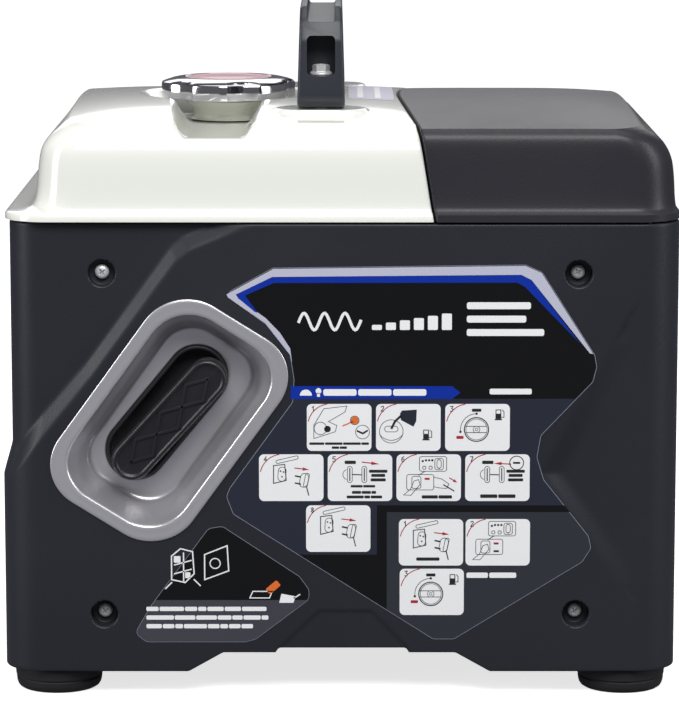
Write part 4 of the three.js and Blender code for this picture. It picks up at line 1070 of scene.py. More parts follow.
@dataclass
class LidShell:
    """One half of the lid: side wall, shoulder and crowned top, from its end to the seam.

    Rows hold: inset of the end, inset of the long sides, corner radius, height, share of the crown.
    Along q the shell runs from the seam to its end; q is x on the hood and -x on the tank.
    """

    name: str
    direction: int
    end: float
    x_mid: float
    x_half: float
    rows: Sequence[Sequence[float]]
    half_y: float = 160.0
    crown_rise: float = 12.0
    lid_top: float = 380.0
    seam_x: float = 40.0
    seam_bow: float = 13.0
    seam_lean: float = 0.155
    seam_half_gap: float = 0.8
    edge: float = 1.4
    bottom: float = 319.3
    columns: int = 120
    corner_steps: int = 14
    length_steps: int = 150

    def crown(self, x: Array, y: Array) -> Array:
        """Rise of the top over the plain lid height."""
        across = np.maximum(0, 1 - ((x - self.x_mid) / self.x_half) ** 4)
        return self.crown_rise * np.maximum(0, 1 - (y / self.half_y) ** 2) * across

    def features(self, x: Array, y: Array, z: Array) -> Array:
        """Height after what is sunk in or raised; plain here."""
        return z

    def seam_q(self, y: Array, z: Array) -> Array:
        """Where the shell ends at the seam."""
        x = self.seam_x + self.seam_bow * np.abs(y / self.half_y) ** 1.5
        x = x + (self.lid_top - np.minimum(z, self.lid_top)) * self.seam_lean
        return self.direction * x + self.seam_half_gap

    def end_curve(self, row: Sequence[float]) -> tuple[Array, Array]:
        """The outline of the shell's end from its front corner to its rear corner, as q and y.

        Args:
            row: the row.

        Returns:
            q and y of the curve.
        """
        end_inset, side_inset, radius = row[:3]
        angles = np.linspace(0, math.pi / 2, self.corner_steps + 1)
        low = -(self.half_y - side_inset)
        q_end = self.end - end_inset
        front_y = low + radius * (1 - np.cos(angles))
        front_q = q_end - radius + radius * np.sin(angles)
        middle_y = np.linspace(front_y[-1], -front_y[-1], self.length_steps + 1)[1:-1]
        q = np.concatenate([front_q, np.full(len(middle_y), q_end), front_q[::-1]])
        y = np.concatenate([front_y, middle_y, -front_y[::-1]])
        return q, y

    def shares(self) -> Array:
        """Column positions from the seam to the end curve, fine beside the seam."""
        fine = np.array([0.0, 0.0006, 0.002, 0.0045, 0.008])
        return np.concatenate([fine, np.linspace(0.013, 1, self.columns)])

    def edge_drop(self, b: Array) -> Array:
        """Rounding of the edge along the seam, by distance from the seam."""
        b = np.clip(b, 0, self.edge)
        return self.edge - np.sqrt(np.maximum(self.edge ** 2 - (self.edge - b) ** 2, 0))

    def place(self, q: Array, y: Array, row: Sequence[float], b: Array) -> Array:
        """Points of a row in x, y, z with crown, features and seam edge.

        Args:
            q: place along the shell.
            y: place across.
            row: the row.
            b: distance from the seam.

        Returns:
            The points.
        """
        x = self.direction * q
        z = row[3] + row[4] * self.crown(x, y)
        z = self.features(x, y, z) - row[4] * self.edge_drop(b)
        inward = self.edge_drop(b) * (1 - row[4])
        return np.stack([x, y - np.sign(y) * inward, z], -1)

    def ring(self, row: Sequence[float]) -> Array:
        """One closed ring: front side, end, rear side and the seam wall."""
        q_end, y = self.end_curve(row)
        seam = self.seam_q(y, np.full(len(y), row[3]))
        a = self.shares()
        front_q = seam[0] + (q_end[0] - seam[0]) * a
        rear_q = seam[-1] + (q_end[-1] - seam[-1]) * a[::-1]
        front = self.place(front_q, np.full(len(a), y[0]), row, front_q - seam[0])
        end = self.place(q_end[1:-1], y[1:-1], row, q_end[1:-1] - seam[1:-1])
        rear = self.place(rear_q, np.full(len(a), y[-1]), row, rear_q - seam[-1])
        limit = abs(y[0]) - self.edge * (1 - row[4])
        wall_y = np.clip(y[1:-1][::-1], -limit, limit)
        wall = self.place(seam[1:-1][::-1], wall_y, row, np.zeros(len(wall_y)))
        wall[:, 1] = wall_y
        return np.concatenate([front, end, rear, wall])

    def top_grid(self, row: Sequence[float]) -> Array:
        """The crowned top as a grid whose border is the last ring."""
        q_end, y = self.end_curve(row)
        seam = self.seam_q(y, np.full(len(y), row[3]))
        a = self.shares()
        q = seam[:, None] + (q_end - seam)[:, None] * a[None, :]
        yy = np.repeat(y[:, None], len(a), 1)
        return self.place(q, yy, row, q - seam[:, None])

    def keep(self, centres: Array) -> Array:
        """Which faces of the top stay."""
        return np.ones(len(centres), bool)

    def mesh(self) -> Piece:
        """Builds the shell."""
        rows = chaikin(self.rows)
        first = rows[0]
        skirt = [[first[0], first[1], first[2], self.bottom, 0.0]]
        lip = [[first[0] + 6, first[1] + 6, first[2], self.bottom, 0.0]]
        rings = [self.ring(row) for row in [*lip, *skirt, *rows]]
        count = len(rings[0])
        verts = np.concatenate(rings)
        faces = tube_faces(len(rings), count)
        grid = self.top_grid(rows[-1])
        height, width = grid.shape[:2]
        base = len(verts)
        index = np.arange(height * width).reshape(height, width) + base
        quads = np.stack([index[:-1, :-1], index[:-1, 1:], index[1:, 1:], index[1:, :-1]], -1).reshape(-1, 4)
        flat = grid.reshape(-1, 3)
        centres = flat[quads - base].mean(1)
        quads = quads[self.keep(centres)]
        faces += [tuple(int(i) for i in quad) for quad in quads]
        return make_object(self.name, np.concatenate([verts, flat]), faces, 50)


@dataclass
class TankShell(LidShell):
    """The cream tank with its filler well, run-off channel and handle pads."""

    neck_x: float = -77.6
    well_floor: float = 373.0
    well_radius: float = 40.0
    well_slope: float = 23.0 / 24.0
    channel_x: float = -83.0
    channel_half: float = 20.5
    channel_slope: float = 23.0 / 13.0
    handle_x: float = -12.6
    pad_y: float = 100.0
    pad_half: Point = (30.0, 19.0)
    pad_radius: float = 18.0
    pad_top: float = 389.0
    hole: float = 21.0

    def features(self, x: Array, y: Array, z: Array) -> Array:
        """Raises the pads, then sinks the well and the channel."""
        pads = rounded_box_distance(x - self.handle_x, np.abs(y) - self.pad_y, self.pad_half, self.pad_radius)
        raised = np.maximum(self.pad_top - z, 0) * smoothstep(1.6, -0.4, pads)
        z = z + np.where(z > self.pad_top - 8, raised, 0)
        r = np.hypot(x - self.neck_x, y)
        well = smooth_max(np.full_like(r, self.well_floor),
                          self.well_floor + (r - self.well_radius) * self.well_slope, 4)
        off = np.abs(x - self.channel_x) - self.channel_half
        channel = smooth_max(np.full_like(r, self.well_floor), self.well_floor + off * self.channel_slope, 4)
        channel = np.where(y > 0, 1e3, channel)
        sunk = smooth_min(well, channel, 3)
        return np.where(z > self.well_floor - 3, smooth_min(z, sunk, 3), z)

    def keep(self, centres: Array) -> Array:
        """Leaves the filler hole open."""
        return np.hypot(centres[:, 0] - self.neck_x, centres[:, 1]) > self.hole

    def height(self, x: float, y: float) -> float:
        """Height of the finished top at a point."""
        px, py = np.array([x]), np.array([y])
        return float(self.features(px, py, self.lid_top + self.crown(px, py))[0])

    def patch(self, name: str, x0: float, x1: float, y0: float, y1: float, lift: float,
              radius: float = 3.0) -> Piece:
        """A thin film that lies on the top, with rounded corners.

        Args:
            name: the piece's name.
            x0: left limit.
            x1: right limit.
            y0: front limit.
            y1: rear limit.
            lift: height over the tank.
            radius: corner radius.

        Returns:
            The film.
        """
        steps_x, steps_y = 14, 60
        verts = []
        half = ((x1 - x0) / 2, (y1 - y0) / 2)
        for j in range(steps_y + 1):
            y = y0 + (y1 - y0) * j / steps_y
            near = max(0.0, radius - (half[1] - abs(y - (y0 + y1) / 2)))
            cut = radius - math.sqrt(max(radius ** 2 - near ** 2, 0))
            for i in range(steps_x + 1):
                x = x0 + cut + (x1 - x0 - 2 * cut) * i / steps_x
                verts.append((x, y, self.height(x, y) + lift))
        width = steps_x + 1
        faces = [(j * width + i, j * width + i + 1, (j + 1) * width + i + 1, (j + 1) * width + i)
                 for j in range(steps_y) for i in range(steps_x)]
        return make_object(name, verts, faces)


TANK_SHELL = TankShell(
    "tank_upper", -1, 222.0, -61.0, 161.0,
    [(0, -0.5, 30, 323, 0), (1.5, 0.5, 29, 324.5, 0), (16, 2.5, 28, 326, 0), (21, 3.5, 27, 331, 0),
     (23, 4.5, 26, 360, 0), (26, 6.5, 24, 369, 0), (32, 11, 22, 376, 0), (41, 20, 18, 380, 1)],
    columns=150)
HOOD_SHELL = LidShell(
    "hood", 1, 225.0, 102.5, 122.5,
    [(0, -1.5, 30, 324, 0), (1, 0, 29, 325, 0), (3, 2, 28, 328, 0), (4, 3, 28, 350, 0), (6, 3.4, 27, 361, 0),
     (12, 4, 26, 371, 0), (19, 5.5, 24, 376, 0), (27, 9, 22, 378.5, 1)])


@dataclass
class Filler:
    """The filler neck with its thread, the gasket and the lobed chrome cap."""

    x: float = -77.6
    floor: float = 373.3
    neck_top: float = 394.0
    bore: float = 20.0
    cap_radius: float = 46.4
    cap_bottom: float = 388.0
    cap_top: float = 402.5
    skirt: float = 11.5
    lobes: int = 6
    dip: float = 3.4

    def neck(self) -> Piece:
        """Neck turned with two thread ribs and a rounded mouth."""
        z0, z1 = self.floor, self.neck_top
        profile = [(self.bore, z0), (26.5, z0), (25.2, z0 + 0.6), (24.2, z0 + 1.8), (24.0, z0 + 4),
                   (25.0, z0 + 8), (27.4, z0 + 10.2), (29.2, z0 + 11.6), (29.8, z0 + 13)]
        for z in (z0 + 14.5, z0 + 17.5):
            profile += [(29.0, z - 0.9), (29.9, z - 0.2), (29.9, z + 0.2), (29.0, z + 0.9)]
        profile += [(29.2, z1 - 0.5), (28.6, z1), (21.8, z1), (20.8, z1 - 0.6), (20.2, z1 - 3),
                    (self.bore, z0)]
        return self.closed("filler_neck_fine", profile)

    def gasket(self) -> Piece:
        """Flat rubber ring with rounded rims."""
        z = self.neck_top + 0.3
        return self.closed("cap_seal_fine", [(21.2, z), (29.2, z), (29.8, z + 0.5), (29.8, z + 1.5),
                                             (29.2, z + 2), (21.8, z + 2), (21.2, z + 1.5), (21.2, z)])

    def closed(self, name: str, profile: Outline) -> Piece:
        """A turned ring whose profile ends where it starts."""
        rings = []
        for r, z in profile:
            rings.append([(self.x + r * math.cos(a), r * math.sin(a), z)
                          for a in np.linspace(0, 2 * math.pi, 97)[:-1]])
        return loft(name, rings, False, False, 45)

    def radius_at(self, angle: float) -> float:
        """Skirt radius: six lobes with round hollows between them."""
        phase = (self.lobes * angle / (2 * math.pi)) % 1
        hollow = math.sin((phase - 0.5) * 2 * math.pi) if phase > 0.5 else 0.0
        return self.cap_radius - self.dip * hollow ** 1.2

    def cap(self) -> Piece:
        """The cap's outer skin down to its inner seat."""
        z0, z1 = self.cap_bottom, self.cap_top
        rim = z0 + self.skirt
        angles = np.linspace(0, 2 * math.pi, 361)[:-1]
        outer = np.array([self.radius_at(a) for a in angles])
        round_part = np.minimum(outer, self.cap_radius - 4.0)

        def ring(radii: Array, z: float) -> list[tuple[float, float, float]]:
            """A ring of the given radii."""
            return [(self.x + r * math.cos(a), r * math.sin(a), z) for r, a in zip(radii, angles)]
        rings = [ring(np.full(360, 0.3), z0 + 8.9), ring(np.full(360, 31.5), z0 + 8.9),
                 ring(np.full(360, 31.5), z0 + 0.4), ring(outer - 1.6, z0), ring(outer - 0.5, z0 + 0.3),
                 ring(outer, z0 + 1.2), ring(outer, rim - 1.6), ring(outer - 0.5, rim - 0.5),
                 ring(outer - 1.5, rim + 0.1), ring(outer * 0.4 + round_part * 0.57, rim + 0.9),
                 ring(round_part * 0.93, rim + 1.7), ring(round_part * 0.88, rim + 2.2),
                 ring(round_part * 0.8, z1 - 0.3), ring(round_part * 0.74, z1 - 0.1),
                 ring(np.full(360, 30.6), z1 - 0.1), ring(np.full(360, 30.2), z1 - 0.45),
                 ring(np.full(360, 0.3), z1 - 0.45)]
        return loft("fuel_cap_fine", rings, True, True, 35)

    def disc(self) -> Piece:
        """The plain tinted disc let into the cap's top."""
        z = self.cap_top - 0.45
        return lathe("cap_disc", [(0, z - 0.2), (30, z - 0.2), (30, z + 0.1), (29.6, z + 0.22),
                                  (22, z + 0.26), (21.6, z + 0.15), (21, z + 0.15), (20.6, z + 0.26),
                                  (0, z + 0.26)], (self.x, 0, 0), "Z", 96, 30)


@dataclass
class CarryHandle:
    """The arched carrying handle: tapered bar with a channel on top and pockets for its bolts."""

    x: float = -12.6
    width: float = 32.0
    taper: float = 2.0
    span: float = 232.0
    base: float = 389.3
    top: float = 457.0
    foot: float = 32.0
    bar: float = 21.0
    bolt_seat: float = 22.0
    wall: float = 6.6

    def outline(self) -> list[Point]:
        """Side outline in (y, z) with rounded corners."""
        y, b, t, f = self.span / 2, self.base, self.top, self.foot
        under = t - self.bar
        right = [(y - f - 18, under), (y - f - 8, under - 4), (y - f - 3, under - 14), (y - f, b), (y, b),
                 (y - 3, t - 22), (y - 8, t - 8), (y - 20, t)]
        left = [(-across, z) for across, z in reversed(right)]
        outer = [*left[3:], *right, *left[:3]]
        return round_corners(outer, 12.0, 8)

    def build(self) -> Piece:
        """Lofts the bar across its width, then cuts channel, pockets and bolt seats."""
        outline = self.outline()
        half = self.width / 2
        rings = []
        for share, drawn in ((-1, 2.2), (-0.985, 1.1), (-0.94, 0.35), (-0.86, 0), (0.86, 0), (0.94, 0.35),
                             (0.985, 1.1), (1, 2.2)):
            ring = []
            for y, z in inset(outline, drawn):
                z = max(z, self.base)
                wide = half - self.taper * (z - self.base) / (self.top - self.base)
                ring.append((self.x + share * wide, y, z))
            rings.append(ring)
        body = loft("carry_handle_fine", rings, sharp=50)
        trough = half - self.wall
        reach = self.span / 2
        cutters = [self.cutter(-reach - 6, reach + 6, self.top - 10, self.top + 12, trough, 2.0)]
        for end in (-1, 1):
            near, far = sorted((end * (reach + 8), end * (reach - 24)))
            cutters.append(self.cutter(near, far, self.base + self.bolt_seat, self.top - 19, trough, 3.0))
            y = end * (self.span - self.foot) / 2
            cutters.append(lathe("bolt_hole", [(0, -6), (4.4, -6), (4.4, 30), (0, 30)],
                                 (self.x, y, self.base), "Z", 40))
        carve(body, cutters)
        bevel(body, 0.7, 2, 50)
        shade(body, 45)
        return body

    def cutter(self, y0: float, y1: float, z0: float, z1: float, half: float, r: float) -> Piece:
        """A block with rounded edges along Y."""
        outline = rounded_rect(self.x - half, self.x + half, z0, z1, r, 6)
        return loft("cutter", [on_y(outline, y0), on_y(outline, y1)])

    def bolt(self, name: str, end: int) -> Piece:
        """Flanged hexagon bolt seated in the handle's foot.

        Args:
            name: the piece's name.
            end: -1 in front, 1 behind.

        Returns:
            The bolt.
        """
        z = self.base + self.bolt_seat + 0.3
        y = end * (self.span - self.foot) / 2
        flange = lathe("flange", [(0, -30), (4, -30), (4, 0), (7.5, 0), (7.5, 0.9), (7.1, 1.5), (5.6, 2.1),
                                  (0, 2.1)], (self.x, y, z), "Z", 64)
        rings = []
        for r, h in ((5.9, 1.6), (5.9, 5.4), (5.5, 6.2), (4.6, 6.5), (4.2, 6.5), (3.9, 6.1), (0.2, 6.0)):
            ring = []
            for i in range(60):
                a = 2 * math.pi * i / 60
                flat = 5.1 / math.cos((a % (math.pi / 3)) - math.pi / 6)
                ring.append((self.x + min(r, flat) * math.cos(a), y + min(r, flat) * math.sin(a), z + h))
            rings.append(ring)
        head = loft("hexagon", rings, True, True, 25)
        return fused(name, [flange, head])


# ---- starter
@dataclass
class Starter:
    """The pressed dish, its socket, the pull grip and the rope behind it."""

    at: Point = (-113.0, 187.2)
    angle: float = 54.0
    skew: float = math.tan(math.radians(4))
    length: float = 162.0
    width: float = 104.0
    corner: float = 32.0
    floor: float = -131.2
    floor_inset: float = 20.5
    corner_loss: float = 10.0
    slot_at: Point = (-115.8, 188.1)
    slot_angle: float = 50.5
    slot: Point = (106.0, 41.0)
    grip_at: Point = (-113.1, 186.4)
    grip_angle: float = 47.5
    grip: Point = (101.0, 27.0)
    grip_face: float = -155.0
    grip_back: float = -135.0

    def outline(self, drawn: float) -> list[Point]:
        """The dish's outline, drawn in by an amount.

        Args:
            drawn: how far in.

        Returns:
            The outline.
        """
        r = self.corner - drawn * self.corner_loss / self.floor_inset
        half_l, half_w = self.length / 2 - drawn, self.width / 2 - drawn
        points = rounded_rect(-half_l, half_l, -half_w, half_w, r, 16, 10)
        return placed(points, self.at, self.angle, self.skew)

    def slot_outline(self, grow: float) -> list[Point]:
        """The slot's stadium, grown by an amount."""
        points = stadium(self.slot[0] + 2 * grow, self.slot[1] + 2 * grow, 16, 10)
        return placed(points, self.slot_at, self.slot_angle)

    def grip_outline(self, grow: float) -> list[Point]:
        """The grip's stadium, grown by an amount."""
        points = stadium(self.grip[0] + 2 * grow, self.grip[1] + 2 * grow, 16, 10)
        return placed(points, self.grip_at, self.grip_angle)

    def dish(self) -> Piece:
        """Rolled rim, drawn wall, floor and the slot's turned-in edge."""
        rows = chaikin([(0.5, -160.25), (-0.1, -160.4), (0.3, -161.1), (1.9, -161.5), (4.6, -161.3),
                        (7.2, -161.5), (9.0, -160.9), (10.2, -158.0), (16.6, -136.5), (19.6, -131.8),
                        (24.0, -131.2)], 3)
        rings = [on_y(self.outline(drawn), y) for drawn, y in rows]
        inner = np.array(self.outline(rows[-1][0]))
        target = np.array(self.slot_outline(0.9))
        for share in (0.2, 0.4, 0.6, 0.8, 1.0):
            points = inner * (1 - share) + target * share
            rings.append(on_y([tuple(p) for p in points], self.floor))
        for grow, y in ((0.3, -131.1), (0.0, -130.8), (0.0, -129.6)):
            rings.append(on_y(self.slot_outline(grow), y))
        return loft("starter_dish", rings, False, False, 60)

    def socket(self) -> Piece:
        """Black moulded socket behind the slot, open towards the grip."""
        rows = [(-0.4, -106.5), (-0.4, -133.2), (-0.9, -133.7), (-2.4, -133.7), (-2.9, -133.3),
                (-3.1, -132.0), (-3.6, -122.6), (-4.4, -121.8)]
        rings = [on_y(self.slot_outline(grow), y) for grow, y in rows]
        centre = np.array(self.slot_outline(-15))
        rings.append(on_y([tuple(p) for p in centre], -121.7))
        return loft("starter_socket", rings, True, True, 50)

    def handle(self) -> Piece:
        """The rubber grip with a dished face, raised border and slanted ribs."""
        f, b = self.grip_face, self.grip_back
        rows = [(-7, b), (-5.6, b - 0.2), (-1.5, b - 3.0), (-0.3, b - 5.5), (0, b - 8), (0, f + 3.2),
                (-0.35, f + 1.7), (-1.2, f + 0.5), (-2.2, f), (-3.0, f + 0.1), (-3.6, f + 0.9),
                (-4.6, f + 1.3), (-8.5, f + 1.0)]
        rings = [on_y(self.grip_outline(grow), y) for grow, y in rows]
        body = loft("grip_body", rings, True, True, 50)
        stem = lathe("stem", [(0, -1), (8, -1), (8, 8.8), (7.4, 9.7), (6.6, 10), (0, 10)],
                     (self.grip_at[0], b, self.grip_at[1]), "Y", 48)
        return fused("pull_grip", [body, stem, *self.ribs()])

    def ribs(self) -> list[Piece]:
        """Two raised zigzags that cross into a chain of diamonds along the grip's face."""
        bars = []
        f = self.grip_face
        for side in (-1, 1):
            zigzag = [(-37.5 + 12.5 * i, side * (-1) ** (i // 2) * 7.8 * (i % 2)) for i in range(7)]
            rings = []
            for width, y in ((2.4, f + 1.8), (2.4, f + 0.6), (1.9, f + 0.15), (1.2, f + 0.02)):
                outline = placed(stroke(zigzag, width)[0], self.grip_at, self.grip_angle)
                rings.append(on_y(outline, y))
            bars.append(loft("rib", rings, True, True, 35))
        return bars

    def rope(self) -> Piece:
        """Braided rope between the grip's stem and the reel, as twisted strands."""
        x, z = self.grip_at
        y0, y1 = -124.7, -106.3
        rings = []
        steps = 40
        for j in range(steps + 1):
            y = y0 + (y1 - y0) * j / steps
            ring = []
            for i in range(32):
                a = 2 * math.pi * i / 32
                weave = 0.22 * abs(math.sin(4 * a + j * 0.9)) * abs(math.sin(4 * a - j * 0.9))
                r = 2.27 + weave
                ring.append((x + r * math.cos(a), y, z + r * math.sin(a)))
            rings.append(ring)
        return loft("starter_rope", rings, True, True, 60)


# ---- prints
def clip(points: Outline, a: float, b: float, c: float) -> list[Point]:
    """The part of a polygon where a*x + b*z is at most c.

    Args:
        points: the polygon.
        a: share of x.
        b: share of z.
        c: the limit.

    Returns:
        The part inside.
    """
    out: list[Point] = []
    for i, (x1, z1) in enumerate(points):
        x0, z0 = points[i - 1]
        d0, d1 = a * x0 + b * z0 - c, a * x1 + b * z1 - c
        if (d0 < 0) != (d1 < 0):
            t = d0 / (d0 - d1)
            out.append((x0 + (x1 - x0) * t, z0 + (z1 - z0) * t))
        if d1 < 0:
            out.append((x1, z1))
    return out


def box(x0: float, x1: float, z0: float, z1: float, r: float = 0.0) -> list[Point]:
    """A rectangle, its corners rounded if asked."""
    if r <= 0:
        return [(x0, z0), (x1, z0), (x1, z1), (x0, z1)]
    return rounded_rect(x0, x1, z0, z1, r, 6)


def stroke(points: Outline, width: float) -> Shapes:
    """A band of even width along a polyline, as one closed outline with mitred joints.

    Args:
        points: the polyline.
        width: the band's width.

    Returns:
        A list with the one outline.
    """
    path = np.array(points, float)
    closed = bool(np.hypot(*(path[0] - path[-1])) < 1e-6)
    steps = np.diff(path, axis=0)
    steps /= np.maximum(np.linalg.norm(steps, axis=1, keepdims=True), 1e-9)
    before = np.vstack([steps[-1:] if closed else steps[:1], steps])
    after = np.vstack([steps, steps[:1] if closed else steps[-1:]])
    normal = np.stack([-(before + after)[:, 1], (before + after)[:, 0]], 1)
    normal /= np.maximum(np.linalg.norm(normal, axis=1, keepdims=True), 1e-9)
    cosine = np.clip(normal[:, 0] * -before[:, 1] + normal[:, 1] * before[:, 0], 0.4, 1)
    offset = normal * (width / 2 / cosine)[:, None]
    if not closed:
        path[0] -= steps[0] * width / 2
        path[-1] += steps[-1] * width / 2
    else:
        path[0] += steps[0] * 0.02
        path[-1] -= steps[-1] * 0.02
    return [[tuple(p) for p in np.vstack([path + offset, (path - offset)[::-1]])]]


def ring_shape(at: Point, r: float, width: float, start: float = 0, end: float = 360) -> Shapes:
    """An arc of a given stroke width."""
    steps = max(6, int(abs(end - start) / 12))
    angles = [math.radians(start + (end - start) * i / steps) for i in range(steps + 1)]
    return stroke([(at[0] + r * math.cos(a), at[1] + r * math.sin(a)) for a in angles], width)


def disc_shape(at: Point, r: float) -> list[Point]:
    """A filled circle."""
    return [(at[0] + r * math.cos(2 * math.pi * i / 24), at[1] + r * math.sin(2 * math.pi * i / 24))
            for i in range(24)]


DIGITS: dict[str, tuple[Point, ...]] = {
    "1": ((0.1, 0.75), (0.55, 1), (0.55, 0)),
    "2": ((0, 0.85), (0.3, 1), (0.9, 1), (1, 0.7), (0, 0), (1, 0)),
    "3": ((0, 1), (1, 1), (0.45, 0.58), (1, 0.4), (0.85, 0), (0, 0)),
    "4": ((0.75, 0), (0.75, 1), (0, 0.3), (1.1, 0.3)),
    "5": ((1, 1), (0.05, 1), (0, 0.55), (0.8, 0.55), (1, 0.3), (0.8, 0), (0, 0)),
    "6": ((0.9, 1), (0.2, 0.8), (0, 0.3), (0.2, 0), (0.8, 0), (1, 0.3), (0.7, 0.55), (0.1, 0.45)),
    "7": ((0, 1), (1, 1), (0.35, 0)),
    "8": ((0.5, 0.5), (0.05, 0.75), (0.5, 1), (0.95, 0.75), (0, 0.25), (0.5, 0), (1, 0.25), (0.5, 0.5))}


def digit(value: str, at: Point, size: float) -> Shapes:
    """A small digit on a dial or tile, drawn with one stroke."""
    return stroke([(at[0] + x * size * 0.52, at[1] + z * size) for x, z in DIGITS[value]], size * 0.17)


def greeking(x0: float, x1: float, z: float, height: float, words: Sequence[float]) -> Shapes:
    """Plain bars that stand for a line of words of the given relative lengths.

    Args:
        x0: left end.
        x1: right end.
        z: lower edge.
        height: height of the bars.
        words: relative lengths.

    Returns:
        One outline for each word.
    """
    total = sum(words) + 0.25 * (len(words) - 1)
    unit = (x1 - x0) / total
    shapes = []
    x = x0
    for word in words:
        shapes.append(box(x, x + word * unit, z, z + height, height * 0.3))
        x += (word + 0.25) * unit
    return shapes


@dataclass
class Print:
    """A layered print: flat shapes of one ink, a hair in front of the layer below."""

    name: str
    back: float = -160.14
    thickness: float = 0.12
    layer: float = 0.055
    shapes: dict[str, tuple[Finish, int, Shapes]] = field(default_factory=dict)

    def white(self, shapes: Iterable[Outline]) -> None:
        """Adds white line work at the second level."""
        self.add("white", INK_WHITE, 2, shapes)

    def add(self, key: str, finish: Finish, level: int, shapes: Iterable[Outline]) -> None:
        """Adds shapes of an ink at a level."""
        entry = self.shapes.setdefault(key, (finish, level, []))
        entry[2].extend([list(s) for s in shapes if len(s) > 2])

    def build(self, node: str) -> list[Piece]:
        """Builds one piece for each ink and level."""
        pieces = []
        for key, (finish, level, shapes) in self.shapes.items():
            front = self.back - self.thickness - level * self.layer
            verts: list[tuple[float, float, float]] = []
            faces: list[tuple[int, ...]] = []
            for shape in shapes:
                n, base = len(shape), len(verts)
                back = self.back if level == 0 else front + self.layer * 0.8
                verts += on_y(shape, front) + on_y(shape, back)
                faces.append(tuple(base + i for i in range(n)))
                faces += [(base + i, base + (i + 1) % n, base + n + (i + 1) % n, base + n + i)
                          for i in range(n)]
            piece = make_object(f"{self.name}_{key}", verts, faces, 30)
            pieces.append(settle(piece, finish, "body", *([] if level else [node])))
        return pieces


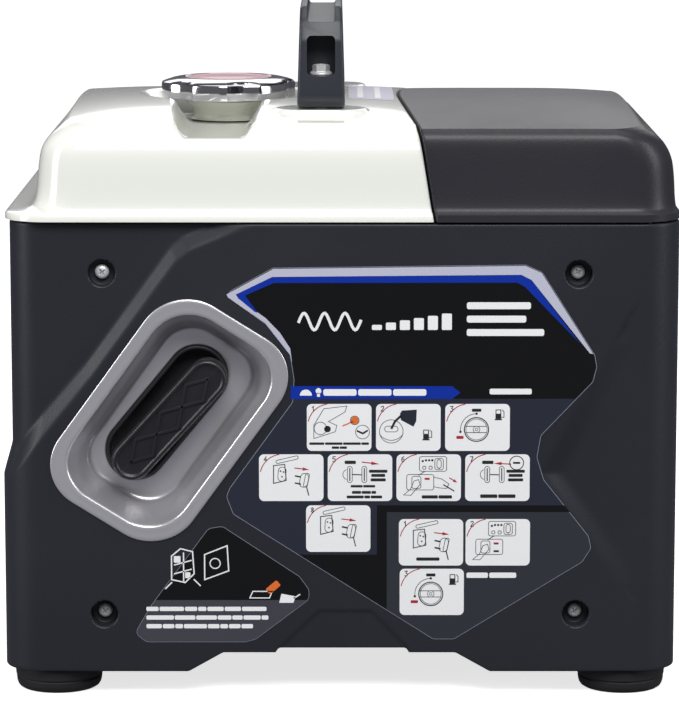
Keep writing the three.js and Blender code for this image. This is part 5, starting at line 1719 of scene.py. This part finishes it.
@dataclass
class StartTile:
    """A white instruction tile with a number in a red corner and a line drawing.

    The drawings are given from the tile's upper left corner, x to the right and z up.
    """

    art: Print
    number: str
    x: float
    z: float
    drawing: str
    caption: bool = False
    width: float = 42.7
    height: float = 31.5
    rounding: float = 3.3
    line: float = 0.4

    def draw(self) -> None:
        """Adds the tile's paper, corner, number and drawing to the print."""
        self.lay("tiles", INK_WHITE, [box(0, self.width, -self.height, 0, self.rounding)], 3)
        self.red(ring_shape((15.5, -14.8), 14.9, 0.6, 99, 167))
        self.ink(digit(self.number, (3.4, -4.8), 3.2))
        maker = {"engine": self.engine, "funnel": self.funnel, "knob": self.knob, "plug": self.plug,
                 "lever": self.lever, "pull": self.pull}[self.drawing]
        maker()

    def lay(self, key: str, finish: Finish, shapes: Iterable[Outline], level: int = 4) -> None:
        """Moves shapes to the tile's place and adds them in an ink."""
        self.art.add(key, finish, level, [placed(shape, (self.x, self.z)) for shape in shapes])

    def ink(self, shapes: Iterable[Outline]) -> None:
        """Adds black line work."""
        self.lay("tile_ink", INK_LINE, shapes)

    def ring(self, at: Point, r: float, start: float = 0, end: float = 360) -> None:
        """Adds a thin black circle or arc."""
        self.ink(ring_shape(at, r, self.line, start, end))

    def wire(self, points: Outline, width: float | None = None) -> None:
        """Adds a black line along points, thin if no width is given."""
        self.ink(stroke(points, width or self.line))

    def words(self, x0: float, x1: float, z: float, height: float, *lengths: float) -> None:
        """Adds bars that stand for a line of words."""
        self.ink(greeking(x0, x1, z, height, lengths))

    def red(self, shapes: Iterable[Outline]) -> None:
        """Adds red line work."""
        self.lay("tile_red", INK_RED, shapes)

    def capsule(self, at: Point, length: float, width: float, angle: float) -> None:
        """Adds the outline of a rounded bar."""
        outline = placed(stadium(length, width, 6, 4), at, angle)
        self.wire([*outline, outline[0]])

    def frame(self, x0: float, x1: float, z0: float, z1: float) -> None:
        """Adds the outline of a rounded panel."""
        outline = rounded_rect(x0, x1, z0, z1, 1.4, 4)
        self.wire([*outline, outline[0]])

    def engine(self) -> None:
        """An oil filler with its dipstick beside it."""
        body = [(4.6, -23.2), (4.6, -14.3), (11.2, -3.2), (26.4, -1.4), (25.2, -5.4), (14.2, -11.8),
                (19.8, -14.4), (18.8, -18.6), (12.0, -20.8), (4.6, -23.2)]
        self.wire(body)
        self.ring((9.0, -16.4), 4.2)
        self.ink([disc_shape((13.6, -16.8), 2.2)])
        self.lay("tile_orange", INK_ORANGE, stroke([(24, -14.6), (30, -12)], 0.9))
        self.lay("tile_orange", INK_ORANGE, [disc_shape((31.6, -11), 2.6)])
        self.ring((31.6, -11), 2.9)
        self.ring((36.8, -18.8), 4.6)
        self.wire([(33.6, -18.2), (37, -19.8), (39.8, -18.0)], 1.2)
        self.words(1.6, 41.0, -27.4, 1.6, 6, 7, 7, 3)
        self.words(16.5, 26.5, -30.1, 1.6, 3, 3)

    def funnel(self) -> None:
        """A fuel can poured into a filler."""
        can = [(15.8, -6.6), (17.0, -4.4), (26.9, -3.8), (26.6, -11.4), (24.7, -15.2), (16.5, -10.8)]
        self.lay("tile_can", INK_GREY, [can])
        self.wire([(16.0, -8.4), (12.6, -11.6), (10.4, -16.0)], 1.5)
        self.ring((10.1, -18.4), 7.8)
        self.capsule((10.1, -16.8), 8.8, 3.8, 0)
        self.ring((10.1, -15.0), 9.4, 215, 325)
        self.pump(31.2, -24.4)

    def pump(self, x: float, z: float) -> None:
        """A small fuel pump sign."""
        self.ink([box(x, x + 3.8, z + 0.9, z + 7.2, 0.4), box(x - 0.5, x + 4.3, z, z + 0.85, 0)])
        self.wire([(x + 4.1, z + 2), (x + 5.6, z + 2), (x + 5.6, z + 5.6), (x + 4.6, z + 6.8)], 0.5)
        self.lay("tile_paper", INK_WHITE, [box(x + 0.6, x + 3.2, z + 4.4, z + 6.6)], 5)

    def knob(self) -> None:
        """A rotary valve between its two ends."""
        at = (20.7, -17.1)
        self.ink(ring_shape(at, 8.0, 0.7))
        self.ink(ring_shape(at, 7.0, 0.35))
        for side in (-1, 1):
            self.wire([(at[0] - 7.0, at[1] + side * 2.1), (at[0] + 6.4, at[1] + side * 2.1)], 0.45)
        for r in (2.2, 0.9):
            self.ink(ring_shape(at, r, 0.35))
        self.ink(ring_shape(at, 10.6, 0.4, 92, 186))
        self.ink([disc_shape((at[0], at[1] + 10.6), 0.8), disc_shape((at[0] - 10.6, at[1] - 1.6), 0.8)])
        self.words(17.6, 23.8, -5.2, 2.0, 3)
        self.red(greeking(7.4, 12.2, -23.4, 2.0, (2,)))
        self.pump(33.2, -10.9)

    def arrow(self, tail: Point, tip: Point) -> None:
        """A thin red arrow inside the tile, given from the tile's corner."""
        ends = np.array((tail, tip), float)
        along = ends[1] - ends[0]
        across = np.array((-along[1], along[0])) / np.hypot(*along)
        neck = ends[0] + along * 0.55
        outline = [ends[0] + across * 0.35, neck + across * 0.35, neck + across * 1.1, ends[1],
                   neck - across * 1.1, neck - across * 0.35, ends[0] - across * 0.35]
        self.red([[tuple(p) for p in outline]])

    def plug(self) -> None:
        """A plug drawn out of its covered socket."""
        self.capsule((18.6, -3.6), 15.0, 2.2, 13)
        base = [(9.6, -7.6), (17.0, -6.8), (18.0, -17.6), (9.6, -19.6), (9.6, -7.6)]
        self.wire(base, 0.6)
        self.capsule((15.2, -13.4), 9.6, 5.2, 86)
        self.ink([disc_shape((14.2 + a, -13.2 + b), 0.55) for a, b in ((0, 1.9), (2, 1.3), (1, -1.9))])
        self.arrow((23.4, -9.2), (33.4, -10.4))
        self.capsule((29.8, -17.5), 9.4, 5.4, 78)
        self.capsule((31.4, -17.5), 9.4, 2.6, 78)
        for dz in (-14.6, -19.4):
            self.wire([(24.2, dz), (27.2, dz - 0.6)], 1.0)
        self.wire([(31.6, -22.4), (32.8, -27.4)], 0.7)
        if self.caption:
            self.words(11.6, 27.0, -28.2, 2.2, 6)

    def lever(self) -> None:
        """A choke lever between run and cold start."""
        for dx in (14.6, 24.2):
            self.capsule((dx, -13.6), 11.0, 3.2, 90)
            self.wire([(dx, -9.6), (dx, -17.6)], 0.7)
        self.ring((13.4, -13.6), 3.4, 110, 250)
        self.wire([(16.4, -13.6), (22.4, -13.8)], 0.7)
        self.words(11.2, 18.6, -6.5, 2.2, 3)
        for dz, w in ((-12.4, 6.1), (-15.2, 4.6), (-18.2, 5.0)):
            self.words(33.4 - w, 33.4 + w, dz, 2.0, 5)
        if self.caption:
            self.arrow((30.4, -6.6), (18.8, -6.0))
            self.ink(ring_shape((34.0, -5.8), 4.6, 0.6))
            self.words(31.6, 36.4, -6.4, 1.3, 4)
            self.words(10.0, 33.4, -29.4, 2.4, 5, 5)
        else:
            self.arrow((22.4, -5.2), (34.2, -6.6))
            self.words(15.2, 31.4, -22.3, 1.6, 5, 5)
            self.words(16.0, 32.0, -26.6, 1.9, 4, 4, 2)
            self.words(12.6, 36.0, -29.7, 1.9, 6, 2, 4)

    def pull(self) -> None:
        """A hand pulls the starter grip while the other holds the switch."""
        self.frame(15.2, 33.2, -11.4, -1.5)
        self.frame(25.4, 31.0, -10.4, -2.8)
        self.frame(26.8, 29.6, -9.4, -3.6)
        self.ink([disc_shape((17.4 + 2.1 * i, -4.6 + 0.6 * min(i, 1)), 0.75) for i in range(4)])
        for dx in (17.2, 21.4):
            self.frame(dx, dx + 2.4, -10.2, -7.8)
        self.frame(6.8, 24.7, -24.0, -13.6)
        self.wire([(18.6, -11.6), (14.8, -14.0)], 0.5)
        self.frame(10.2, 16.2, -23.0, -14.8)
        hand = [(4.8, -27.4), (9.4, -23.4), (11.6, -18.0), (14.6, -17.0), (15.6, -20.4), (12.8, -23.8),
                (9.6, -27.6), (4.8, -27.4)]
        self.wire(hand)
        if self.caption:
            fist = [(24.8, -15.4), (30.0, -16.6), (34.8, -20.0), (33.2, -23.0), (28.2, -22.6), (24.8, -21.8)]
            self.wire(fist)
            self.wire([(31.4, -20.6), (38.0, -24.6)], 0.8)
            self.arrow((35.0, -15.8), (40.2, -19.0))
            self.words(16.8, 36.8, -29.8, 2.2, 6, 5)
        else:
            self.words(18.6, 22.2, -22.4, 1.3, 3)
        self.red(greeking(18.6, 22.0, -17.2, 1.4, (2,)))


@dataclass
class InstructionLabel:
    """The big start guide film on the front cover."""

    outline: tuple[Point, ...] = (
        (-76.5, 271.6), (-44, 289.3), (122, 291.3), (133, 286.3), (168, 231.3), (169.5, 223.3), (167, 213.3),
        (133, 177.3), (130.5, 162.8), (135, 147.8), (165, 109.8), (167, 101.3), (161, 91.8), (76, 39.3),
        (62, 39.3), (-71, 124.3), (-75.5, 136.3), (-73, 142.3), (-31.5, 199.8), (-30.5, 214.8),
        (-33, 231.3), (-49, 251.8))
    row_one: Point = (-21.9, 198.6)
    row_two: Point = (-53.6, 164.8)
    pitch_one: float = 45.7
    pitch_two: float = 45.5
    split: float = 202.0
    overlap: float = 0.05
    border: float = 0.45
    rounding: float = 4.5

    def build(self) -> list[Piece]:
        """Draws the whole label."""
        art = Print("guide")
        film = round_corners(self.outline, self.rounding)
        edge = inset(film, self.border)
        art.add("film", INK_BORDER, 0, [film])
        art.add("upper", INK_BLACK, 1, [clip(edge, 0, -1, -self.split)])
        self.bands(art)
        art.add("lower", INK_GREY, 1, [clip(edge, 0, 1, self.split - self.overlap)])
        bar = [(-32.5, 201.9), (74, 201.9), (79.5, 206.2), (74, 210.5), (-32.5, 210.5)]
        art.add("bar", INK_BLUE, 2, [bar])
        self.separators(art, edge)
        self.headline(art)
        for index, drawing in enumerate(("engine", "funnel", "knob")):
            x = self.row_one[0] + self.pitch_one * index
            StartTile(art, str(index + 1), x, self.row_one[1], drawing).draw()
        for index, drawing in enumerate(("plug", "lever", "pull", "lever")):
            x = self.row_two[0] + self.pitch_two * index
            StartTile(art, str(index + 4), x, self.row_two[1], drawing, index > 1).draw()
        StartTile(art, "8", -22.5, 130.4, "plug").draw()
        StartTile(art, "1", 39.1, 121.1, "plug", True).draw()
        StartTile(art, "2", 83.4, 121.1, "pull").draw()
        StartTile(art, "3", 39.7, 87.4, "knob").draw()
        return art.build("instruction_label")

    def bands(self, art: Print) -> None:
        """Silver and blue bands along the top and down both upper flanks."""
        silver = [(-74.6, 271.6), (-43.7, 288.5), (121.8, 290.5), (132.4, 285.8), (166.8, 232.0),
                  (164.6, 232.4), (125.8, 281.2), (119.0, 284.6), (-44.5, 283.2), (-68.4, 271.6),
                  (-66.8, 268.8), (-48.8, 255.8), (-39.6, 246.2), (-32.8, 235.6), (-31.6, 226.0),
                  (-33.0, 231.6), (-49.0, 252.4), (-73.6, 269.6)]
        blue = [(-68.2, 271.6), (-44.5, 283.1), (119.0, 284.5), (125.8, 281.1), (158.0, 239.0),
                (121.5, 276.6), (116.5, 279.4), (-43.5, 279.2), (-62.4, 270.9), (-54.2, 259.4),
                (-56.0, 260.0), (-66.6, 268.9)]
        art.add("silver", INK_SILVER, 2, [silver])
        art.add("blue", INK_BLUE, 3, [blue])

    def separators(self, art: Print, edge: Outline) -> None:
        """Black bars between the start and the shut down part."""
        art.add("gap", INK_BLACK, 2, [[(24.5, 130.4), (148.8, 130.4), (152.5, 125.8), (31.1, 125.8),
                                       (31.1, 97.0), (24.5, 97.0)]])
        corner = clip(clip(edge, 1, 0, 31.1), 0, 1, 96.98)
        art.add("gap", INK_BLACK, 2, [corner])
        shut = clip(clip(edge, -1, 0, -31.1), 0, 1, 125.8)
        art.add("shut", INK_SHUT, 2, [inset(shut, 0.01)])

    def headline(self, art: Print) -> None:
        """Generic signs in place of words: a sine wave and bars, and the guide's bar."""
        wave = [(-27.0 + 0.9 * i, 253.6 + 5.6 * math.sin(i * 0.42)) for i in range(46)]
        art.white(stroke(wave, 1.9))
        art.white([box(21 + 9.2 * i, 27.6 + 9.2 * i, 248.0, 248.0 + 3.4 + 1.5 * i, 0.8)
                                        for i in range(6)])
        for i, end in enumerate((125.5, 122.5, 134.4)):
            art.white(greeking(83.4, end, 261.8 - 8.9 * i, 4.6, (1,)))
        art.white(greeking(98.7, 126.5, 205.0, 3.8, (1,)))
        art.add("bright", INK_WHITE, 3, greeking(-11, 57, 204.1, 4.4, (5, 5, 5)))
        art.add("bright", INK_WHITE, 3, [clip(disc_shape((-22.5, 204.2), 4.0), 0, -1, -204.2)])
        art.add("bright", INK_WHITE, 3, [disc_shape((-14.2, 207.3), 1.9), box(-15.2, -13.2, 203.4, 206.0)])
        art.add("white_low", INK_WHITE, 3, greeking(84.1, 117.2, 81.2, 3.6, (4, 5)))


@dataclass
class OilLabel:
    """The small film on oil filling below the dish."""

    outline: tuple[Point, ...] = (
        (-137, 43.3), (-126, 62.3), (-87.5, 114.8), (-78, 116.3), (-27, 82.3), (-20.5, 73.3), (-20.5, 66.3),
        (-56, 39.3), (-63, 37.3), (-129, 37.3))

    def build(self) -> list[Piece]:
        """Draws the label."""
        art = Print("oil")
        film = round_corners(self.outline, 6.0)
        edge = inset(film, 0.35)
        art.add("film", INK_BORDER, 0, [film])
        art.add("upper", INK_BLACK, 1, [clip(edge, 0, -1, -66.05)])
        art.add("lower", INK_OIL, 1, [clip(edge, 0, 1, 66.0)])
        self.machine(art)
        self.dipstick(art)
        for i, (x1, words) in enumerate(((-49.0, (3, 6, 3, 2, 4, 4, 6)), (-47.7, (8, 6, 6, 4, 3, 5, 2)),
                                         (-58.0, (4, 3, 2, 6, 3, 2, 3, 3)))):
            art.white(greeking(-129, x1, 58.6 - 5.9 * i, 2.9, words))
        return art.build("oil_label")

    def machine(self, art: Print) -> None:
        """A line drawing of the machine and its opened cover."""
        lines = [[(-112, 80), (-112, 96), (-106, 101), (-98, 99), (-97, 84), (-103, 78), (-112, 80)],
                 [(-110, 84), (-99, 87)], [(-110, 90), (-99, 93)], [(-104, 79), (-104, 98)],
                 [(-112, 78), (-116, 74)], [(-97, 80), (-93, 76)],
                 [(-90, 80), (-90, 97), (-75, 103), (-74, 86), (-90, 80)]]
        for line in lines:
            art.white(stroke(line, 0.85))
        art.white(ring_shape((-83, 91), 3.4, 0.7))
        art.white([box(-110.5, -106, 91.5, 96, 0.6), box(-103, -99.5, 81, 85, 0.6)])

    def dipstick(self, art: Print) -> None:
        """The dipstick's orange knob over an open filler, with an oil can."""
        knob = placed(rounded_rect(-4.8, 4.8, -2.3, 2.3, 1.0, 4), (-44.5, 74.8), 40)
        art.add("orange", INK_ORANGE, 2, [knob])
        tray = [(-60, 67.5), (-47, 67.5), (-45, 72), (-58, 72), (-60, 67.5)]
        art.white(stroke(tray, 0.7))
        art.white([[(-40.5, 64.2), (-31, 64.2), (-29.5, 68.6), (-39, 70.4)]])
        art.white(stroke([(-30.5, 67.5), (-26.8, 69.8)], 0.8))


# ---- carried-over nodes
NODE_FINISH: dict[str, Finish] = {
    "base_frame": FRAME, "recoil_housing": FRAME, "muffler": FRAME, "crankcase": CAST, "cylinder": CAST,
    "cylinder_head": CAST, "carburetor": CAST, "crankshaft": STEEL, "recoil_spring": STEEL,
    "exhaust_outlet": TAIL, "ground_terminal": STEEL, "stator": COPPER, "rotor": FRAME, "spark_plug": NECK,
    "cooling_fan": FITTING, "air_filter_box": FITTING, "inverter_module": GREY, "recoil_reel": GREY,
    "rope_winding": ROPE, "recoil_rope": ROPE, "tank_lower_shell": GREY, "oil_dipstick": RED,
    "breaker_button": RED, "engine_switch_rocker": RED, "eco_switch_rocker": GREY,
    "engine_mount_1": RUBBER, "engine_mount_2": RUBBER, "cap_gasket": RUBBER, "end_panel_control": CASE,
    "end_panel_exhaust": CASE, "control_fascia": FITTING, "ac_outlet_1": FITTING, "ac_outlet_2": FITTING,
    "outlet_cover_1": GREY, "outlet_cover_2": GREY, "dc_outlet": FITTING, "fuel_valve_knob": FITTING,
    "choke_knob": FITTING}
REFINED: dict[str, tuple[str, float]] = {
    "end_panel_control": ("body", 0.7), "control_fascia": ("body", 0.5),
    "ac_outlet_1": ("body", 0.35), "ac_outlet_2": ("body", 0.35), "outlet_cover_1": ("cover_1", 0.5),
    "outlet_cover_2": ("cover_2", 0.5), "dc_outlet": ("body", 0.35), "fuel_valve_knob": ("fuel_valve", 0.6),
    "choke_knob": ("choke", 0.5), "engine_switch_rocker": ("engine_switch", 0.6),
    "eco_switch_rocker": ("eco_switch", 0.6), "breaker_button": ("breaker", 0.4),
    "ground_terminal": ("body", 0.3), "exhaust_outlet": ("body", 0.4)}


# ---- assemblies
@dataclass
class CaseAssembly:
    """Covers, screws and feet."""

    starter: Starter
    foot_x: float = 190.0
    foot_y: float = 126.0

    def build(self) -> None:
        """Builds and dresses the case's pieces."""
        front = CaseCover(-1)
        settle(front.build(self.starter.outline(5.0)), CASE, "body", "side_panel_front")
        settle(CaseCover(1).build(None), CASE, "body", "side_panel_rear")
        for index, (x, z) in enumerate(front.bores()):
            name = f"panel_screw_{index + 1}"
            settle(PanelScrew().build(f"{name}_fine", x, z), STEEL, "body", name)
        for sy, depth in ((-1, "front"), (1, "rear")):
            for sx, hand in ((-1, "left"), (1, "right")):
                foot = RubberFoot().build(f"foot_{depth}_{hand}", sx * self.foot_x, sy * self.foot_y)
                settle(foot, RUBBER, "body", f"rubber_foot_{depth}_{hand}")


@dataclass
class LidAssembly:
    """Tank, hood, filler and handle."""

    filler: Filler = field(default_factory=Filler)
    handle: CarryHandle = field(default_factory=CarryHandle)

    def build(self) -> None:
        """Builds and dresses the lid's pieces."""
        settle(TANK_SHELL.mesh(), TANK, "body", "tank_upper_shell")
        settle(HOOD_SHELL.mesh(), HOOD, "body", "top_hood")
        settle(self.filler.neck(), NECK, "body", "filler_neck")
        settle(self.filler.gasket(), RUBBER, "cap_seal", "cap_gasket")
        settle(self.filler.cap(), CHROME, "cap", "fuel_cap")
        settle(self.filler.disc(), INK_ROSE, "cap")
        settle(self.handle.build(), HANDLE, "body", "carry_handle")
        for end, word in ((-1, "front"), (1, "rear")):
            bolt = self.handle.bolt(f"handle_bolt_{word}_fine", end)
            settle(bolt, STEEL, "body", f"handle_bolt_{word}")
        film = TANK_SHELL.patch("tank_film", 6.0, 37.0, -48.0, 87.0, 0.12)
        settle(film, INK_LILAC, "body")
        for name, x0, x1 in (("tank_bar_a", 12.0, 16.0), ("tank_bar_b", 24.0, 28.0)):
            bar = TANK_SHELL.patch(name, x0, x1, -40.0, 60.0, 0.2, 0.8)
            settle(bar, INK_WHITE, "body")


@dataclass
class StarterAssembly:
    """Dish, socket, grip and rope."""

    starter: Starter

    def build(self) -> None:
        """Builds and dresses the starter's pieces."""
        settle(self.starter.dish(), DISH, "body", "recoil_dish")
        settle(self.starter.socket(), FITTING, "body", "recoil_socket")
        settle(self.starter.handle(), GRIP, "recoil_pull", "recoil_grip")
        rope = self.starter.rope()
        rope.data.materials.append(ROPE.material())
        x, z = self.starter.grip_at
        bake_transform(rope)
        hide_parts("recoil_rope")


@dataclass
class EndAssembly:
    """Both ends and everything that is carried over from the CAD frame."""

    def build(self) -> None:
        """Rounds the ends' pieces and dresses every CAD node."""
        for node, (body, width) in REFINED.items():
            settle(refined(node, width), NODE_FINISH[node], body, node)
        for node, finish in NODE_FINISH.items():
            mesh = NODES[node].data
            mesh.materials.clear()
            mesh.materials.append(finish.material())
            LOG.info("%s carries %s", node, finish.name)


# ---- stage, light and camera
@dataclass
class Studio:
    """Pale floor, soft lights and the camera."""

    camera_back: float = 2.476
    camera_height: float = 0.6
    pitch: float = 8.99
    focal: float = 182.3
    shift_x: float = -0.0007
    floor_color: Color = (0.92, 0.92, 0.92)
    floor_mirrored: Color = (0.10, 0.10, 0.11)
    floor_glow: float = 0.8
    world_seen: float = 1.0
    world_mirrored: float = 0.16

    def build(self) -> None:
        """Sets the stage."""
        bpy.context.scene.view_settings.view_transform = "Standard"
        self.floor()
        self.world()
        self.lights()
        self.camera()

    def floor(self) -> None:
        """A wide floor that curves up into a backdrop."""
        rows = []
        for i in range(25):
            a = math.radians(90 * i / 24)
            rows.append((3.0 + 1.5 * math.sin(a), 1.5 * (1 - math.cos(a))))
        path = [(-6.0, 0.0), *rows, (4.5, 6.0)]
        verts = [(x, y, z - 0.0002) for x in (-8.0, 8.0) for y, z in path]
        n = len(path)
        mesh = bpy.data.meshes.new("stage_floor")
        mesh.from_pydata(verts, [], [(i, i + n, i + n + 1, i + 1) for i in range(n - 1)])
        mesh.polygons.foreach_set("use_smooth", [True] * len(mesh.polygons))
        obj = bpy.data.objects.new("stage_floor", mesh)
        bpy.context.collection.objects.link(obj)
        mesh.materials.append(self.floor_material())
        obj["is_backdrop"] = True

    def floor_material(self) -> bpy.types.Material:
        """Pale paper: bright where it is looked at, dim in what the machine mirrors."""
        mat = bpy.data.materials.new("stage")
        mat.use_nodes = True
        tree = mat.node_tree
        shader = tree.nodes["Principled BSDF"]
        shader.inputs["Roughness"].default_value = 0.9
        shader.inputs["Specular IOR Level"].default_value = 0.1
        path = tree.nodes.new("ShaderNodeLightPath")
        seen = tree.nodes.new("ShaderNodeMix")
        seen.data_type = "RGBA"
        seen.inputs[6].default_value = (*self.floor_mirrored, 1)
        seen.inputs[7].default_value = (*self.floor_color, 1)
        tree.links.new(path.outputs["Is Camera Ray"], seen.inputs[0])
        tree.links.new(seen.outputs[2], shader.inputs["Base Color"])
        tree.links.new(seen.outputs[2], shader.inputs["Emission Color"])
        shader.inputs["Emission Strength"].default_value = self.floor_glow
        return mat

    def world(self) -> None:
        """A pale room where it is looked at, a dim one for reflections."""
        world = bpy.data.worlds.new("studio")
        bpy.context.scene.world = world
        world.use_nodes = True
        tree = world.node_tree
        sky = tree.nodes["Background"]
        sky.inputs["Color"].default_value = (0.95, 0.97, 1.0, 1)
        path = tree.nodes.new("ShaderNodeLightPath")
        ramp = tree.nodes.new("ShaderNodeMapRange")
        ramp.inputs["To Min"].default_value = self.world_mirrored
        ramp.inputs["To Max"].default_value = self.world_seen
        tree.links.new(path.outputs["Is Camera Ray"], ramp.inputs["Value"])
        tree.links.new(ramp.outputs["Result"], sky.inputs["Strength"])

    def lights(self) -> None:
        """Softboxes: high in front, over the top, at both sides and behind."""
        self.softbox("key_front", (0.2, -2.3, 2.3), (0, 0, 0.2), (1.8, 1.2), 70)
        self.softbox("key_top", (0.1, 0.1, 2.5), (0, 0, 0.3), (2.0, 1.6), 16)
        self.softbox("side_left", (-2.3, -1.0, 1.0), (0, -0.1, 0.2), (0.8, 1.6), 30)
        self.softbox("side_right", (2.3, -0.9, 1.1), (0, -0.1, 0.2), (0.7, 1.6), 22)
        self.softbox("back_top", (0.0, 2.4, 1.5), (0, 0, 0.35), (2.6, 1.0), 14)

    def softbox(self, name: str, at: Sequence[float], to: Sequence[float], size: Point, power: float) -> None:
        """One rectangular area light that looks at a point.

        Args:
            name: the lamp's name.
            at: place in metres.
            to: point it looks at.
            size: width and height.
            power: watts.
        """
        light = bpy.data.lights.new(name, "AREA")
        light.shape = "RECTANGLE"
        light.size, light.size_y = size
        light.energy = power
        obj = bpy.data.objects.new(name, light)
        obj.location = at
        obj.rotation_euler = (Vector(to) - Vector(at)).to_track_quat("-Z", "Y").to_euler()
        bpy.context.collection.objects.link(obj)

    def camera(self) -> None:
        """A long lens that looks slightly down onto the machine."""
        data = bpy.data.cameras.new("camera")
        data.lens = self.focal
        data.sensor_width = 36.0
        data.shift_x = self.shift_x
        obj = bpy.data.objects.new("camera", data)
        obj.location = (0, -self.camera_back, self.camera_height)
        obj.rotation_euler = (math.radians(90 - self.pitch), 0, 0)
        bpy.context.collection.objects.link(obj)
        bpy.context.scene.camera = obj


def corners() -> list[list[float]]:
    """The shown object's lowest and highest corner as plain lists."""
    return [[round(value, 6) for value in corner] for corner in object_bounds()]


def main() -> None:
    """Builds the generator piece by piece."""
    logging.basicConfig(level=logging.INFO, format="%(name)s: %(message)s")
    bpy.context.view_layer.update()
    starter = Starter()
    CaseAssembly(starter).build()
    LidAssembly().build()
    StarterAssembly(starter).build()
    InstructionLabel().build()
    OilLabel().build()
    EndAssembly().build()
    Studio().build()


if __name__ == "__main__":
    main()
